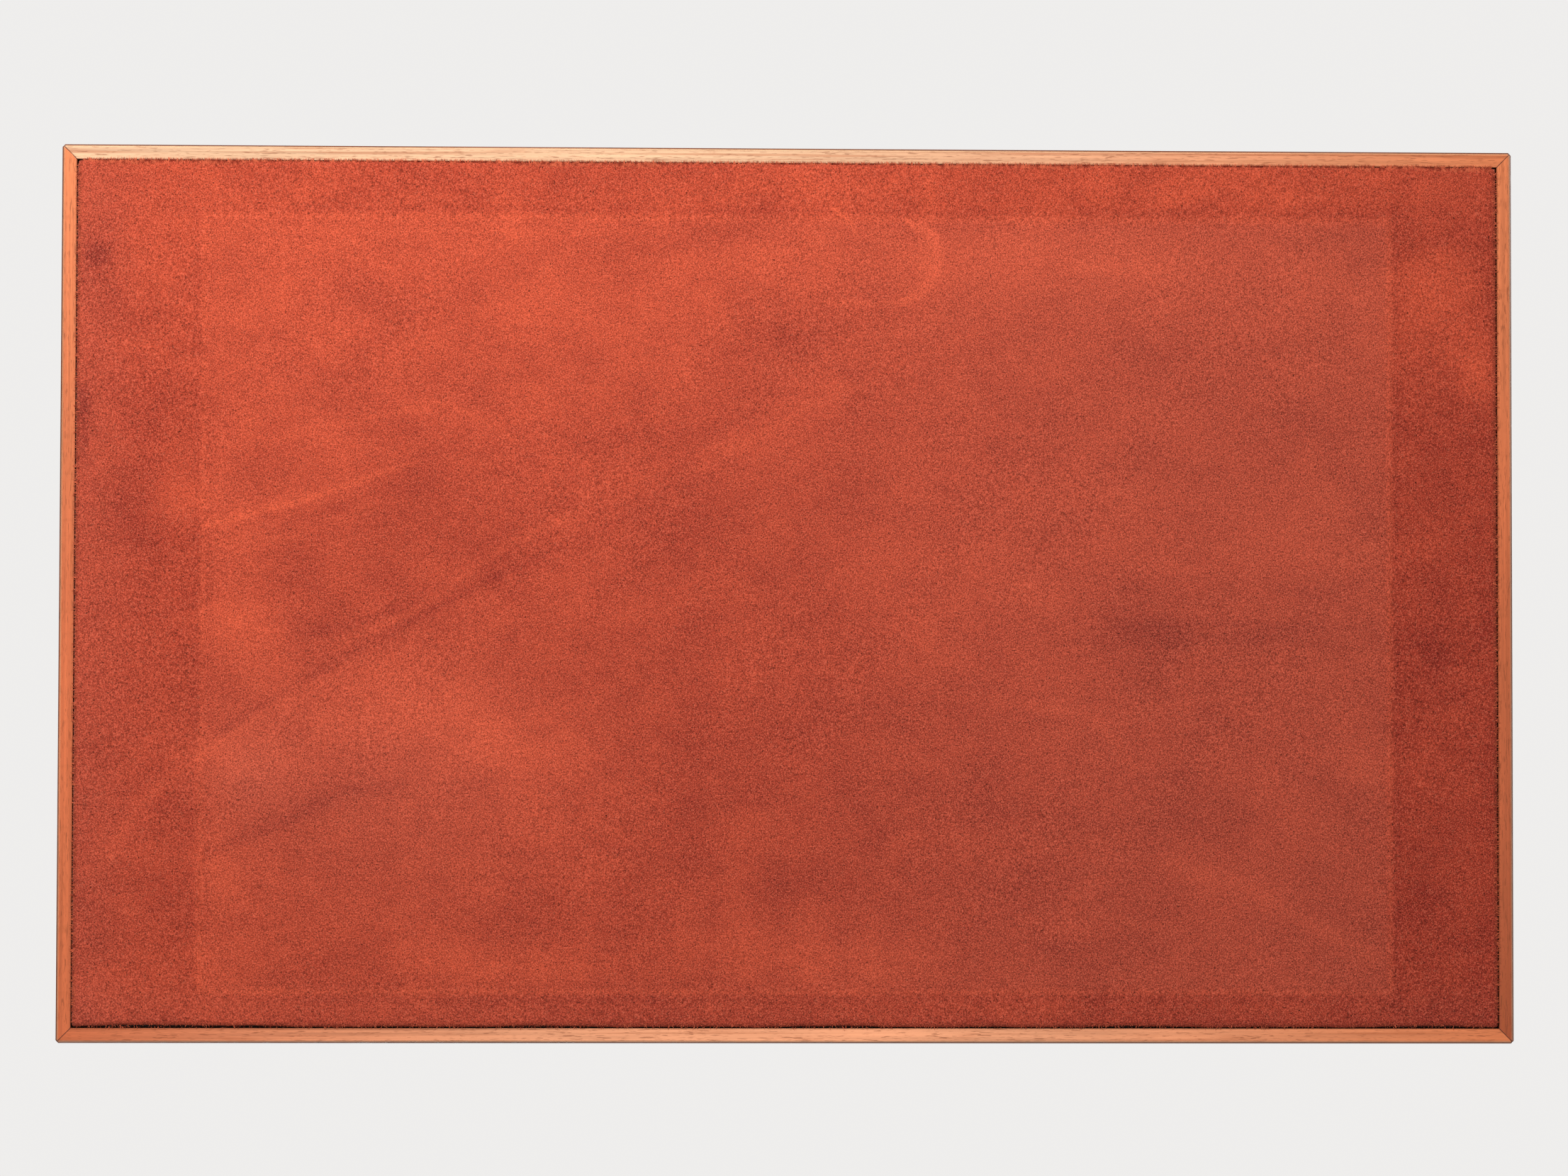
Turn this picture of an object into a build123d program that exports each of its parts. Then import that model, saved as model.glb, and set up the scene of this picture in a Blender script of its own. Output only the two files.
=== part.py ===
from build123d import *
import math
import os

# Cigar humidor: a mitred mahogany box on a suede-covered base, with a hinged lid, a
# lift-out cedar tray, two drawers below the cigar well, a link lock and a lid that
# carries the hygrometer and the humidifier. Millimetres. The origin is the centre of
# the base, +Z is up, the front with the lock and the drawers faces -Y.

# Outside of the box
WIDTH = 420.0
DEPTH = 258.6
HEIGHT = 186.0
HALF_X = WIDTH / 2
HALF_Y = DEPTH / 2
FRONT = -HALF_Y
WALL = 14.0  # thickness of the mahogany boards
INNER_X = HALF_X - WALL
INNER_Y = HALF_Y - WALL
RIM = 136.0  # height of the joint between case and lid
LID_GAP = 0.3  # shadow line under the closed lid
LID_LOW = RIM + LID_GAP
ARRIS = 0.8  # easing of the outer edges
LID_ARRIS = 1.2
RIM_ARRIS = 0.5

# Sides of round work that carries no turning piece: turned rims, barrels and bores
RIM_SIDES = 36
BARREL_SIDES = 20
PIN_SIDES = 12

# Base: the walls stand a little above the suede, which carries the box
SUEDE = 1.2
WALL_LOW = 0.6
BASE_TOP = 6.4
BASE_LIP = 4.3  # wood that stays in sight around the suede
SUEDE_X = HALF_X - BASE_LIP - 0.15
SUEDE_Y = HALF_Y - BASE_LIP - 0.15

# Cigar well
FLOOR_LOW = 52.0
FLOOR_TOP = 58.0
DADO = 3.0
LINING = 5.0  # cedar lining boards
LIP_TOP = RIM + 8.0  # the lining stands above the rim and seals the lid
WELL_X = INNER_X - LINING
WELL_Y = INNER_Y - LINING
LIP_PLAY = 0.6
LEDGE_TOP = 105.0
LEDGE = 6.0
DIVIDER_XS = (-62.0, 66.0)

# Lid
PANEL = 8.0
LID_BORDER = 8.0
CEILING = HEIGHT - PANEL - 4.0  # underside of the lid's cedar
LID_LINING_LOW = LIP_TOP + 1.0

# Drawers
STILE = 12.0
BAY_LOW = 11.0
BAY_TOP = 51.0
BAY_END = 192.0
BAY_PLAY = 0.5
DRAWER_LOW = BAY_LOW + 0.4
DRAWER_TOP = BAY_TOP - 0.4
DRAWER_SIDE = 7.0
DRAWER_RIM = 46.0
DRAWER_BACK = 105.0
DRAWER_FLOOR = 15.0
DRAWER_PLY = 3.0
FRONT_DADO = 4.0
FINGERS = 4

# Flush bail pull, one in each drawer
PULL_Z = (DRAWER_LOW + DRAWER_TOP) / 2
PULL_PLATE_R = 17.0
CUP_R = 13.5
CUP_DEPTH = 8.0
CUP_WALL = 1.0
BAIL_R = 9.5
BAIL_WIRE = 1.25
BAIL_SIDES = 8
BAIL_PIVOT = 7.0  # height of the pivot above the cup's centre
BAIL_PIN_R = 1.0
BAIL_PIN_END = 12.4
BAIL_Y = FRONT + 1.4

# Tray
TRAY_LOW = LEDGE_TOP + 0.3
TRAY_TOP = RIM + 2.0
TRAY_BOARD = 6.0
TRAY_X = (-WELL_X + 0.6, 66.0)
TRAY_Y = WELL_Y - 0.4
TRAY_SLATS = 10
SLAT_WIDTH = 18.0
SLAT = 3.0
SLAT_LOW = TRAY_LOW + 2.0

# Hinges: the pins lie inside the back face, where two bevels meet as a stop
HINGE_XS = (-130.0, 130.0)
HINGE_LONG = 50.0
AXIS_Y = HALF_Y - 4.0
AXIS_Z = RIM + LID_GAP / 2
STOP_BEVEL = 48.0  # degrees on each side; the lid opens to 95
LEAF = 1.5
KNUCKLE_R = 3.5
KNUCKLE_PLAY = 0.3
KNUCKLES = 5
PIN_R = 1.25
PIN_PLAY = 0.05
PIN_HEAD = (2.0, 0.8)  # radius and length

# Screws
SCREW_HEAD_R = 2.2
SCREW_R = 1.0
SCREW_HEAD = 1.3
SCREW_LONG = 9.0
HINGE_SCREW_Y = HALF_Y - 11.0
HINGE_SCREW_XS = (-19.0, 0.0, 19.0)

# Link lock: the key plug turns a crank that draws the bolt through two tongues
LOCK_Y = (FRONT + 4.5, -INNER_Y)
LOCK_HALF = 22.0
LOCK_DEEP = 26.0
LOCK_SKIN = 1.0
SELVEDGE_HALF = 30.0
PLUG_Z = RIM - 15.0
PLUG_R = 4.0
PLUG_END = FRONT + 7.4
NOSE_R = 6.0
ESCUTCHEON_R = 9.0
ESCUTCHEON = 1.2
CRANK_R = 3.54  # a quarter turn moves the pin 5 mm sideways
BOLT_TRAVEL = 5.0
BOLT_Y = (FRONT + 8.3, FRONT + 10.5)
TONGUE_XS = (-10.75, 10.75)
TONGUE = 2.5
TONGUE_Y = (FRONT + 7.1, FRONT + 11.7)
TONGUE_LOW = RIM - 9.2
LOCK_SCREW_X = 26.0
LOCK_SCREW_Y = FRONT + 9.2

# Hygrometer, let into the lid's cedar
HYGRO_X = -62.0
HYGRO_R = 29.2
HYGRO_DEEP = 9.5
BEZEL_R = 32.0
BEZEL_LOW = 2.0
GLASS_T = 1.2
DIAL_DEPTH = 4.2
DIAL_T = 0.8
NEEDLE_LONG = 21.0
ARBOR_R = 0.6

# Humidifier, held under the lid by two magnets
HUMID_X = 130.0
HUMID_SIZE = (90.0, 150.0, 16.0)
HUMID_SHELL = 1.5
HUMID_SLOTS = 14
PLATE_T = 1.0
MAGNET_R = 8.0
MAGNET_T = 2.5
MAGNET_YS = (-45.0, 45.0)
HUMID_TOP = CEILING - PLATE_T - 0.3


def block(x, y, z, mode=Mode.ADD):
    """A square-cut piece between two values on each axis."""
    middle = [(low + high) / 2 for low, high in (x, y, z)]
    with Locations(tuple(middle)):
        Box(x[1] - x[0], y[1] - y[0], z[1] - z[0], mode=mode)


def rod(radius, start, end, sides=None, mode=Mode.ADD):
    """A bar between two points: a true round, or one with so many sides."""
    run = Vector(*end) - Vector(*start)
    with BuildSketch(Plane(origin=start, z_dir=run)) as section:
        if sides:
            RegularPolygon(radius, sides)
        else:
            Circle(radius)
    extrude(section.sketch, amount=run.length, mode=mode)


def around(radius, sides):
    """The radius of a many-sided bore whose flats clear a round of this radius."""
    return radius / math.cos(math.pi / sides)


def facing_front(x, y, z):
    """A plane that faces the front, with its own X and Y along X and Z."""
    return Plane(origin=(x, y, z), x_dir=(1, 0, 0), z_dir=(0, -1, 0))


def mitred_board(side, half_x, half_y, thick, low, high):
    """One board of a four-sided frame, cut at 45 degrees at both ends."""
    signs = {
        "front": ((-1, -1), (1, -1)),
        "right": ((1, -1), (1, 1)),
        "back": ((1, 1), (-1, 1)),
        "left": ((-1, 1), (-1, -1)),
    }[side]
    outer = [(sx * half_x, sy * half_y) for sx, sy in signs]
    inner = [(sx * (half_x - thick), sy * (half_y - thick)) for sx, sy in signs]
    with BuildSketch(Plane.XY.offset(low)) as plan:
        with BuildLine():
            Polyline(outer[0], outer[1], inner[1], inner[0], close=True)
        make_face()
    extrude(plan.sketch, amount=high - low)


def finger_notches(x, y, low, high, first):
    """Every second finger of a box joint is cut away."""
    step = (high - low) / FINGERS
    for finger in range(first, FINGERS, 2):
        block(x, y, (low + finger * step, low + (finger + 1) * step), Mode.SUBTRACT)


def stop_bevel(up):
    """The bevel along the back edge, from the hinge axis outward."""
    reach = HALF_Y + 2 - AXIS_Y
    rise = up * reach * math.tan(math.radians(STOP_BEVEL))
    edge = LID_LOW if up > 0 else RIM
    with BuildSketch(Plane.YZ.offset(-HALF_X - 1)) as wedge:
        with BuildLine():
            Polyline((AXIS_Y, edge), (AXIS_Y + reach, edge), (AXIS_Y + reach, edge + rise), close=True)
        make_face()
    extrude(wedge.sketch, amount=WIDTH + 2, mode=Mode.SUBTRACT)


def hinge_mortises(z):
    """Room for the leaves, the knuckles and the pin heads of both hinges."""
    for x in HINGE_XS:
        block((x - HINGE_LONG / 2, x + HINGE_LONG / 2), (INNER_Y - 1, AXIS_Y), z, Mode.SUBTRACT)
        reach = HINGE_LONG / 2 + PIN_HEAD[1] + KNUCKLE_PLAY
        groove = around(KNUCKLE_R + KNUCKLE_PLAY, BARREL_SIDES)
        ends = [(x + end * reach, AXIS_Y, AXIS_Z) for end in (-1, 1)]
        rod(groove, *ends, BARREL_SIDES, Mode.SUBTRACT)


def soft_edged_block(low, high, low_ease, high_ease):
    """The box's outline between two heights, with its outer edges eased."""
    with BuildPart() as outline:
        block((-HALF_X, HALF_X), (-HALF_Y, HALF_Y), (low, high))
        chamfer(outline.edges().filter_by(Axis.Z), ARRIS)
        chamfer(outline.faces().sort_by(Axis.Z)[-1].edges(), high_ease)
        chamfer(outline.faces().sort_by(Axis.Z)[0].edges(), low_ease)
    return outline.part


case_outline = soft_edged_block(WALL_LOW, RIM, ARRIS, RIM_ARRIS)
lid_outline = soft_edged_block(LID_LOW, HEIGHT, RIM_ARRIS, LID_ARRIS)


def case_board(side):
    """A wall of the case, with the rabbet for the base and the dado for the floor."""
    mitred_board(side, HALF_X, HALF_Y, WALL, WALL_LOW, RIM)
    add(case_outline, mode=Mode.INTERSECT)
    rabbet_x = (BASE_LIP - HALF_X, HALF_X - BASE_LIP)
    rabbet_y = (BASE_LIP - HALF_Y, HALF_Y - BASE_LIP)
    block(rabbet_x, rabbet_y, (0, BASE_TOP), Mode.SUBTRACT)
    dado_x = (-INNER_X - DADO, INNER_X + DADO)
    dado_y = (-INNER_Y - DADO, INNER_Y + DADO)
    block(dado_x, dado_y, (FLOOR_LOW, FLOOR_TOP), Mode.SUBTRACT)
    stop_bevel(-1)


def lid_board(side):
    """A side of the lid, rabbeted for the top panel and eased for the cedar lip."""
    mitred_board(side, HALF_X, HALF_Y, WALL, LID_LOW, HEIGHT)
    add(lid_outline, mode=Mode.INTERSECT)
    panel_x = (LID_BORDER - HALF_X, HALF_X - LID_BORDER)
    panel_y = (LID_BORDER - HALF_Y, HALF_Y - LID_BORDER)
    block(panel_x, panel_y, (HEIGHT - PANEL, HEIGHT + 1), Mode.SUBTRACT)
    lip_x = (-INNER_X - LIP_PLAY, INNER_X + LIP_PLAY)
    lip_y = (-INNER_Y - LIP_PLAY, INNER_Y + LIP_PLAY)
    block(lip_x, lip_y, (RIM, LID_LINING_LOW), Mode.SUBTRACT)
    stop_bevel(1)


def countersunk(x, y, z, up, head_r, shank_r, length, mode=Mode.ADD):
    """An eight-sided countersunk head on its shank, both starting at z."""
    lean = math.degrees(math.atan((head_r - shank_r) * math.cos(math.pi / 8) / SCREW_HEAD))
    with BuildPart(mode=Mode.PRIVATE) as form:
        with BuildSketch() as head:
            RegularPolygon(head_r, 8)
        extrude(head.sketch, amount=SCREW_HEAD, taper=lean)
        with BuildSketch() as shank:
            RegularPolygon(shank_r, 8)
        extrude(shank.sketch, amount=length)
    piece = form.part if up > 0 else mirror(form.part, about=Plane.XY, mode=Mode.PRIVATE)
    with Locations((x, y, z)):
        add(piece, mode=mode)


def screw(x, y, z, up):
    """A countersunk wood screw whose head is flush at z."""
    countersunk(x, y, z, up, SCREW_HEAD_R, SCREW_R, SCREW_LONG)


def screw_seat(x, y, z, up):
    """The countersunk hole of a screw in a leaf or plate."""
    play = 0.05
    countersunk(x, y, z, up, SCREW_HEAD_R + play, SCREW_R + play, 3, Mode.SUBTRACT)


# Base: a plywood board wrapped in suede, let into the rabbet of the walls

with BuildPart() as base_board:
    block(
        (-SUEDE_X + SUEDE, SUEDE_X - SUEDE),
        (-SUEDE_Y + SUEDE, SUEDE_Y - SUEDE),
        (SUEDE, BASE_TOP),
    )

with BuildPart() as base_suede:
    block((-SUEDE_X, SUEDE_X), (-SUEDE_Y, SUEDE_Y), (0, BASE_TOP))
    chamfer(base_suede.edges().filter_by(Axis.Z), 1.0)
    chamfer(base_suede.faces().sort_by(Axis.Z)[0].edges(), 0.8)
    block(
        (-SUEDE_X + SUEDE, SUEDE_X - SUEDE),
        (-SUEDE_Y + SUEDE, SUEDE_Y - SUEDE),
        (SUEDE, BASE_TOP),
        Mode.SUBTRACT,
    )


# Case: four mitred walls, the drawer partition and the floor of the cigar well

with BuildPart() as case_front:
    case_board("front")
    for bay in ((-BAY_END, -STILE / 2), (STILE / 2, BAY_END)):
        block(bay, (FRONT - 1, -INNER_Y + 1), (BAY_LOW, BAY_TOP), Mode.SUBTRACT)
    block((-LOCK_HALF, LOCK_HALF), LOCK_Y, (RIM - LOCK_DEEP, RIM), Mode.SUBTRACT)
    block((-SELVEDGE_HALF, SELVEDGE_HALF), LOCK_Y, (RIM - LEAF, RIM), Mode.SUBTRACT)
    front_of_plug = (0, FRONT - 1, PLUG_Z)
    rod(NOSE_R, front_of_plug, (0, LOCK_Y[0], PLUG_Z), BARREL_SIDES, Mode.SUBTRACT)
    rod(ESCUTCHEON_R, front_of_plug, (0, FRONT + ESCUTCHEON, PLUG_Z), RIM_SIDES, Mode.SUBTRACT)

with BuildPart() as case_back:
    case_board("back")
    hinge_mortises((RIM - LEAF, RIM))

with BuildPart() as case_side_left:
    case_board("left")

with BuildPart() as case_side_right:
    case_board("right")

with BuildPart() as drawer_partition:
    block((-4, 4), (-INNER_Y, INNER_Y), (BASE_TOP, FLOOR_LOW))

with BuildPart() as drawer_runners:
    for side in (-1, 1):
        for edge in (STILE / 2 + BAY_PLAY + 0.5, BAY_END - BAY_PLAY - DRAWER_SIDE + 0.5):
            runner = sorted((side * edge, side * (edge + 6)))
            block(runner, (-INNER_Y, INNER_Y), (BASE_TOP, BAY_LOW + 0.1))

with BuildPart() as well_floor:
    block(
        (-INNER_X - DADO, INNER_X + DADO),
        (-INNER_Y - DADO, INNER_Y + DADO),
        (FLOOR_LOW, FLOOR_TOP),
    )


def lining_board(side):
    """A cedar lining board whose top edge is eased into the sealing lip."""
    with BuildPart() as board:
        mitred_board(side, INNER_X, INNER_Y, LINING, FLOOR_TOP, LIP_TOP)
        along = Axis.X if side in ("front", "back") else Axis.Y
        chamfer(board.edges().filter_by(along).group_by(Axis.Z)[-1], 1.5)
    return board


lining_front = lining_board("front")
lining_back = lining_board("back")
lining_left = lining_board("left")
lining_right = lining_board("right")

with BuildPart() as tray_ledges:
    for side in (-1, 1):
        depth = sorted((side * WELL_Y, side * (WELL_Y - LEDGE)))
        block((-WELL_X, WELL_X), depth, (LEDGE_TOP - LEDGE, LEDGE_TOP))

with BuildPart() as well_dividers:
    for x in DIVIDER_XS:
        with BuildSketch(Plane.YZ.offset(x - 2.5)) as outline:
            with Locations((0, (FLOOR_TOP + LEDGE_TOP - LEDGE - 1) / 2)):
                Rectangle(2 * WELL_Y - 0.6, LEDGE_TOP - LEDGE - 1 - FLOOR_TOP)
            with Locations((0, LEDGE_TOP - LEDGE - 1)):
                RectangleRounded(70, 24, 11, mode=Mode.SUBTRACT)
        extrude(outline.sketch, amount=5)


# Drawers


def drawer(side):
    """The pieces of one drawer; side is -1 for the left one and 1 for the right one."""
    x = sorted((side * (STILE / 2 + BAY_PLAY), side * (BAY_END - BAY_PLAY)))
    inner_x = (x[0] + DRAWER_SIDE, x[1] - DRAWER_SIDE)
    middle = (x[0] + x[1]) / 2
    floor_x = (inner_x[0] - DADO, inner_x[1] + DADO)
    floor_z = (DRAWER_FLOOR, DRAWER_FLOOR + DRAWER_PLY)
    floor_y = (-INNER_Y - DADO, DRAWER_BACK)
    box_z = (DRAWER_LOW, DRAWER_RIM)
    side_boards = ((x[0], inner_x[0]), (inner_x[1], x[1]))
    side_y = (-INNER_Y - FRONT_DADO, DRAWER_BACK)
    back_y = (DRAWER_BACK - DRAWER_SIDE, DRAWER_BACK)

    with BuildPart() as front:
        block(x, (FRONT, -INNER_Y), (DRAWER_LOW, DRAWER_TOP))
        chamfer(front.faces().sort_by(Axis.Y)[0].edges(), 0.5)
        for board in side_boards:
            block(board, side_y, box_z, Mode.SUBTRACT)
        block(floor_x, floor_y, floor_z, Mode.SUBTRACT)
        plate = facing_front(middle, FRONT + 2, PULL_Z)
        with BuildSketch(plate) as plate_seat:
            RegularPolygon(PULL_PLATE_R, RIM_SIDES)
        extrude(plate_seat.sketch, amount=3, mode=Mode.SUBTRACT)
        with BuildSketch(facing_front(middle, FRONT + CUP_DEPTH + CUP_WALL, PULL_Z)) as cup_seat:
            RegularPolygon(CUP_R + CUP_WALL, RIM_SIDES)
        extrude(cup_seat.sketch, amount=CUP_DEPTH, mode=Mode.SUBTRACT)

    with BuildPart() as sides:
        for board in side_boards:
            block(board, side_y, box_z)
            finger_notches(board, back_y, *box_z, first=1)
        block(floor_x, floor_y, floor_z, Mode.SUBTRACT)

    with BuildPart() as back:
        block(x, back_y, box_z)
        for board in side_boards:
            finger_notches(board, back_y, *box_z, first=0)
        block(floor_x, back_y, (DRAWER_LOW, floor_z[1]), Mode.SUBTRACT)

    with BuildPart() as floor:
        block(floor_x, floor_y, floor_z)

    with BuildPart() as lining:
        lining_z = (floor_z[1], floor_z[1] + SUEDE)
        block(inner_x, (-INNER_Y, back_y[0]), lining_z)

    with BuildPart() as cup:
        with BuildSketch(facing_front(middle, FRONT + 2, PULL_Z)) as plate_disc:
            RegularPolygon(PULL_PLATE_R, RIM_SIDES)
        extrude(plate_disc.sketch, amount=2)
        chamfer(cup.faces().sort_by(Axis.Y)[0].edges(), 0.5)
        with BuildSketch(facing_front(middle, FRONT + CUP_DEPTH + CUP_WALL, PULL_Z)) as cup_disc:
            RegularPolygon(CUP_R + CUP_WALL, RIM_SIDES)
        extrude(cup_disc.sketch, amount=CUP_DEPTH)
        with BuildSketch(facing_front(middle, FRONT + CUP_DEPTH, PULL_Z)) as hollow:
            RegularPolygon(CUP_R, RIM_SIDES)
        extrude(hollow.sketch, amount=CUP_DEPTH + 1, mode=Mode.SUBTRACT)
        pivot_z = PULL_Z + BAIL_PIVOT
        reach = CUP_R + CUP_WALL
        ends = [(middle + end * reach, BAIL_Y, pivot_z) for end in (-1, 1)]
        rod(around(BAIL_PIN_R + PIN_PLAY, PIN_SIDES), *ends, PIN_SIDES, Mode.SUBTRACT)

    with BuildPart() as bail:
        with BuildSketch(Plane((middle - BAIL_R, BAIL_Y, PULL_Z), z_dir=(0, 0, 1))) as wire:
            RegularPolygon(BAIL_WIRE, BAIL_SIDES, rotation=180 / BAIL_SIDES)
        bend_axis = Axis((middle, BAIL_Y, PULL_Z), (0, -1, 0))
        revolve(wire.sketch, axis=bend_axis, revolution_arc=180)
        for end in (-1, 1):
            leg_x = middle + end * BAIL_R
            with BuildSketch(Plane((leg_x, BAIL_Y, PULL_Z), z_dir=(0, 0, 1))) as leg:
                RegularPolygon(BAIL_WIRE, BAIL_SIDES, rotation=180 / BAIL_SIDES)
            extrude(leg.sketch, amount=BAIL_PIVOT + 1)
            pin_ends = [(middle + end * reach, BAIL_Y, pivot_z) for reach in (BAIL_R, BAIL_PIN_END)]
            rod(BAIL_PIN_R, *pin_ends)
    return {
        "front": front,
        "sides": sides,
        "back": back,
        "floor": floor,
        "lining": lining,
        "pull_cup": cup,
        "pull_bail": bail,
    }


# Tray: box-jointed boards, a divider and a slatted bottom

tray_ends_x = ((TRAY_X[0], TRAY_X[0] + TRAY_BOARD), (TRAY_X[1] - TRAY_BOARD, TRAY_X[1]))
tray_long_y = ((-TRAY_Y, -TRAY_Y + TRAY_BOARD), (TRAY_Y - TRAY_BOARD, TRAY_Y))
tray_mid_x = (TRAY_X[0] + TRAY_X[1]) / 2
slat_y = (-TRAY_Y + TRAY_BOARD - DADO, TRAY_Y - TRAY_BOARD + DADO)
slat_z = (SLAT_LOW, SLAT_LOW + SLAT)

with BuildPart() as tray_sides:
    for long_y in tray_long_y:
        block(TRAY_X, long_y, (TRAY_LOW, TRAY_TOP))
        for end_x in tray_ends_x:
            finger_notches(end_x, long_y, TRAY_LOW, TRAY_TOP, first=1)
    groove_x = (tray_ends_x[0][1], tray_ends_x[1][0])
    block(groove_x, slat_y, slat_z, Mode.SUBTRACT)

with BuildPart() as tray_ends:
    for end_x in tray_ends_x:
        block(end_x, (-TRAY_Y, TRAY_Y), (TRAY_LOW, TRAY_TOP))
        for long_y in tray_long_y:
            finger_notches(end_x, long_y, TRAY_LOW, TRAY_TOP, first=0)
    with BuildSketch(Plane.YZ.offset(TRAY_X[0] - 1)) as grips:
        with Locations((0, TRAY_TOP)):
            RectangleRounded(36, 24, 9)
    extrude(grips.sketch, amount=TRAY_X[1] - TRAY_X[0] + 2, mode=Mode.SUBTRACT)

with BuildPart() as tray_slats:
    slat_step = (tray_ends_x[1][0] - tray_ends_x[0][1]) / TRAY_SLATS
    for slat in range(TRAY_SLATS):
        middle = tray_ends_x[0][1] + (slat + 0.5) * slat_step
        block((middle - SLAT_WIDTH / 2, middle + SLAT_WIDTH / 2), slat_y, slat_z)

with BuildPart() as tray_divider:
    divider_y = (-TRAY_Y + TRAY_BOARD, TRAY_Y - TRAY_BOARD)
    block((tray_mid_x - 2, tray_mid_x + 2), divider_y, (slat_z[1], TRAY_TOP - 4))


# Lid


def hygrometer_disc(radius, low, high, sides=RIM_SIDES, mode=Mode.ADD):
    """A disc about the hygrometer's upright axis; heights count from the lid's cedar."""
    rod(radius, (HYGRO_X, 0, CEILING + low), (HYGRO_X, 0, CEILING + high), sides, mode)


with BuildPart() as lid_front:
    lid_board("front")
    block((-SELVEDGE_HALF, SELVEDGE_HALF), LOCK_Y, (LID_LOW, LID_LOW + LEAF), Mode.SUBTRACT)

with BuildPart() as lid_back:
    lid_board("back")
    hinge_mortises((LID_LOW, LID_LOW + LEAF))

with BuildPart() as lid_side_left:
    lid_board("left")

with BuildPart() as lid_side_right:
    lid_board("right")

with BuildPart() as lid_panel:
    block(
        (LID_BORDER - HALF_X, HALF_X - LID_BORDER),
        (LID_BORDER - HALF_Y, HALF_Y - LID_BORDER),
        (HEIGHT - PANEL, HEIGHT),
    )
    hygrometer_disc(HYGRO_R, 0, HYGRO_DEEP, mode=Mode.SUBTRACT)

with BuildPart() as lid_ceiling:
    block((-INNER_X, INNER_X), (-INNER_Y, INNER_Y), (CEILING, HEIGHT - PANEL))
    hygrometer_disc(HYGRO_R, 0, HYGRO_DEEP, mode=Mode.SUBTRACT)

with BuildPart() as lid_lining_long:
    for side in ("front", "back"):
        mitred_board(side, INNER_X, INNER_Y, LINING, LID_LINING_LOW, CEILING)

with BuildPart() as lid_lining_short:
    for side in ("left", "right"):
        mitred_board(side, INNER_X, INNER_Y, LINING, LID_LINING_LOW, CEILING)


# Hinges: butt hinges with five knuckles on a loose pin


def hinge_leaves(z, own, up):
    """Both leaves on one side of the joint, with the knuckles that belong to them."""
    pitch = HINGE_LONG / KNUCKLES
    plate_z = (z, z + LEAF) if up > 0 else (z - LEAF, z)
    with BuildPart() as leaves:
        for x in HINGE_XS:
            left = x - HINGE_LONG / 2
            block((left, left + HINGE_LONG), (INNER_Y + LIP_PLAY, AXIS_Y), plate_z)
            for knuckle in range(KNUCKLES):
                start = left + knuckle * pitch + (KNUCKLE_PLAY / 2 if knuckle else 0)
                end = left + (knuckle + 1) * pitch - (KNUCKLE_PLAY / 2 if knuckle < KNUCKLES - 1 else 0)
                if knuckle % 2 == own:
                    rod(KNUCKLE_R, (start, AXIS_Y, AXIS_Z), (end, AXIS_Y, AXIS_Z), BARREL_SIDES)
        for x in HINGE_XS:
            left = x - HINGE_LONG / 2
            for knuckle in range(KNUCKLES):
                if knuckle % 2 != own:
                    start = left + knuckle * pitch - KNUCKLE_PLAY / 2
                    end = start + pitch + KNUCKLE_PLAY
                    clear = around(KNUCKLE_R + KNUCKLE_PLAY, BARREL_SIDES)
                    gap = [(edge, AXIS_Y, AXIS_Z) for edge in (start, end)]
                    rod(clear, *gap, BARREL_SIDES, Mode.SUBTRACT)
            ends = [(x + end * (HINGE_LONG / 2 + 1), AXIS_Y, AXIS_Z) for end in (-1, 1)]
            rod(around(PIN_R + PIN_PLAY, PIN_SIDES), *ends, PIN_SIDES, Mode.SUBTRACT)
            for shift in HINGE_SCREW_XS:
                screw_seat(x + shift, HINGE_SCREW_Y, z, up)
    return leaves


hinge_case_leaves = hinge_leaves(RIM, 0, -1)
hinge_lid_leaves = hinge_leaves(LID_LOW, 1, 1)

with BuildPart() as hinge_pins:
    for x in HINGE_XS:
        seats = [(x + end * HINGE_LONG / 2, AXIS_Y, AXIS_Z) for end in (-1, 1)]
        rod(PIN_R, *seats)
        for end, seat in zip((-1, 1), seats):
            rod(PIN_HEAD[0], seat, (seat[0] + end * PIN_HEAD[1], AXIS_Y, AXIS_Z), PIN_SIDES)


def screws(z, up):
    """The screws of both leaves and of the lock plate on one side of the joint."""
    with BuildPart() as group:
        for x in HINGE_XS:
            for shift in HINGE_SCREW_XS:
                screw(x + shift, HINGE_SCREW_Y, z, up)
        for side in (-1, 1):
            screw(side * LOCK_SCREW_X, LOCK_SCREW_Y, z, up)
    return group


case_screws = screws(RIM, -1)
lid_screws = screws(LID_LOW, 1)


# Lock

BOLT_LOW = RIM - 14.0
BOLT_BAR_TOP = RIM - 9.5
FINGER_Z = (RIM - 7.4, RIM - 4.8)

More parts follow.
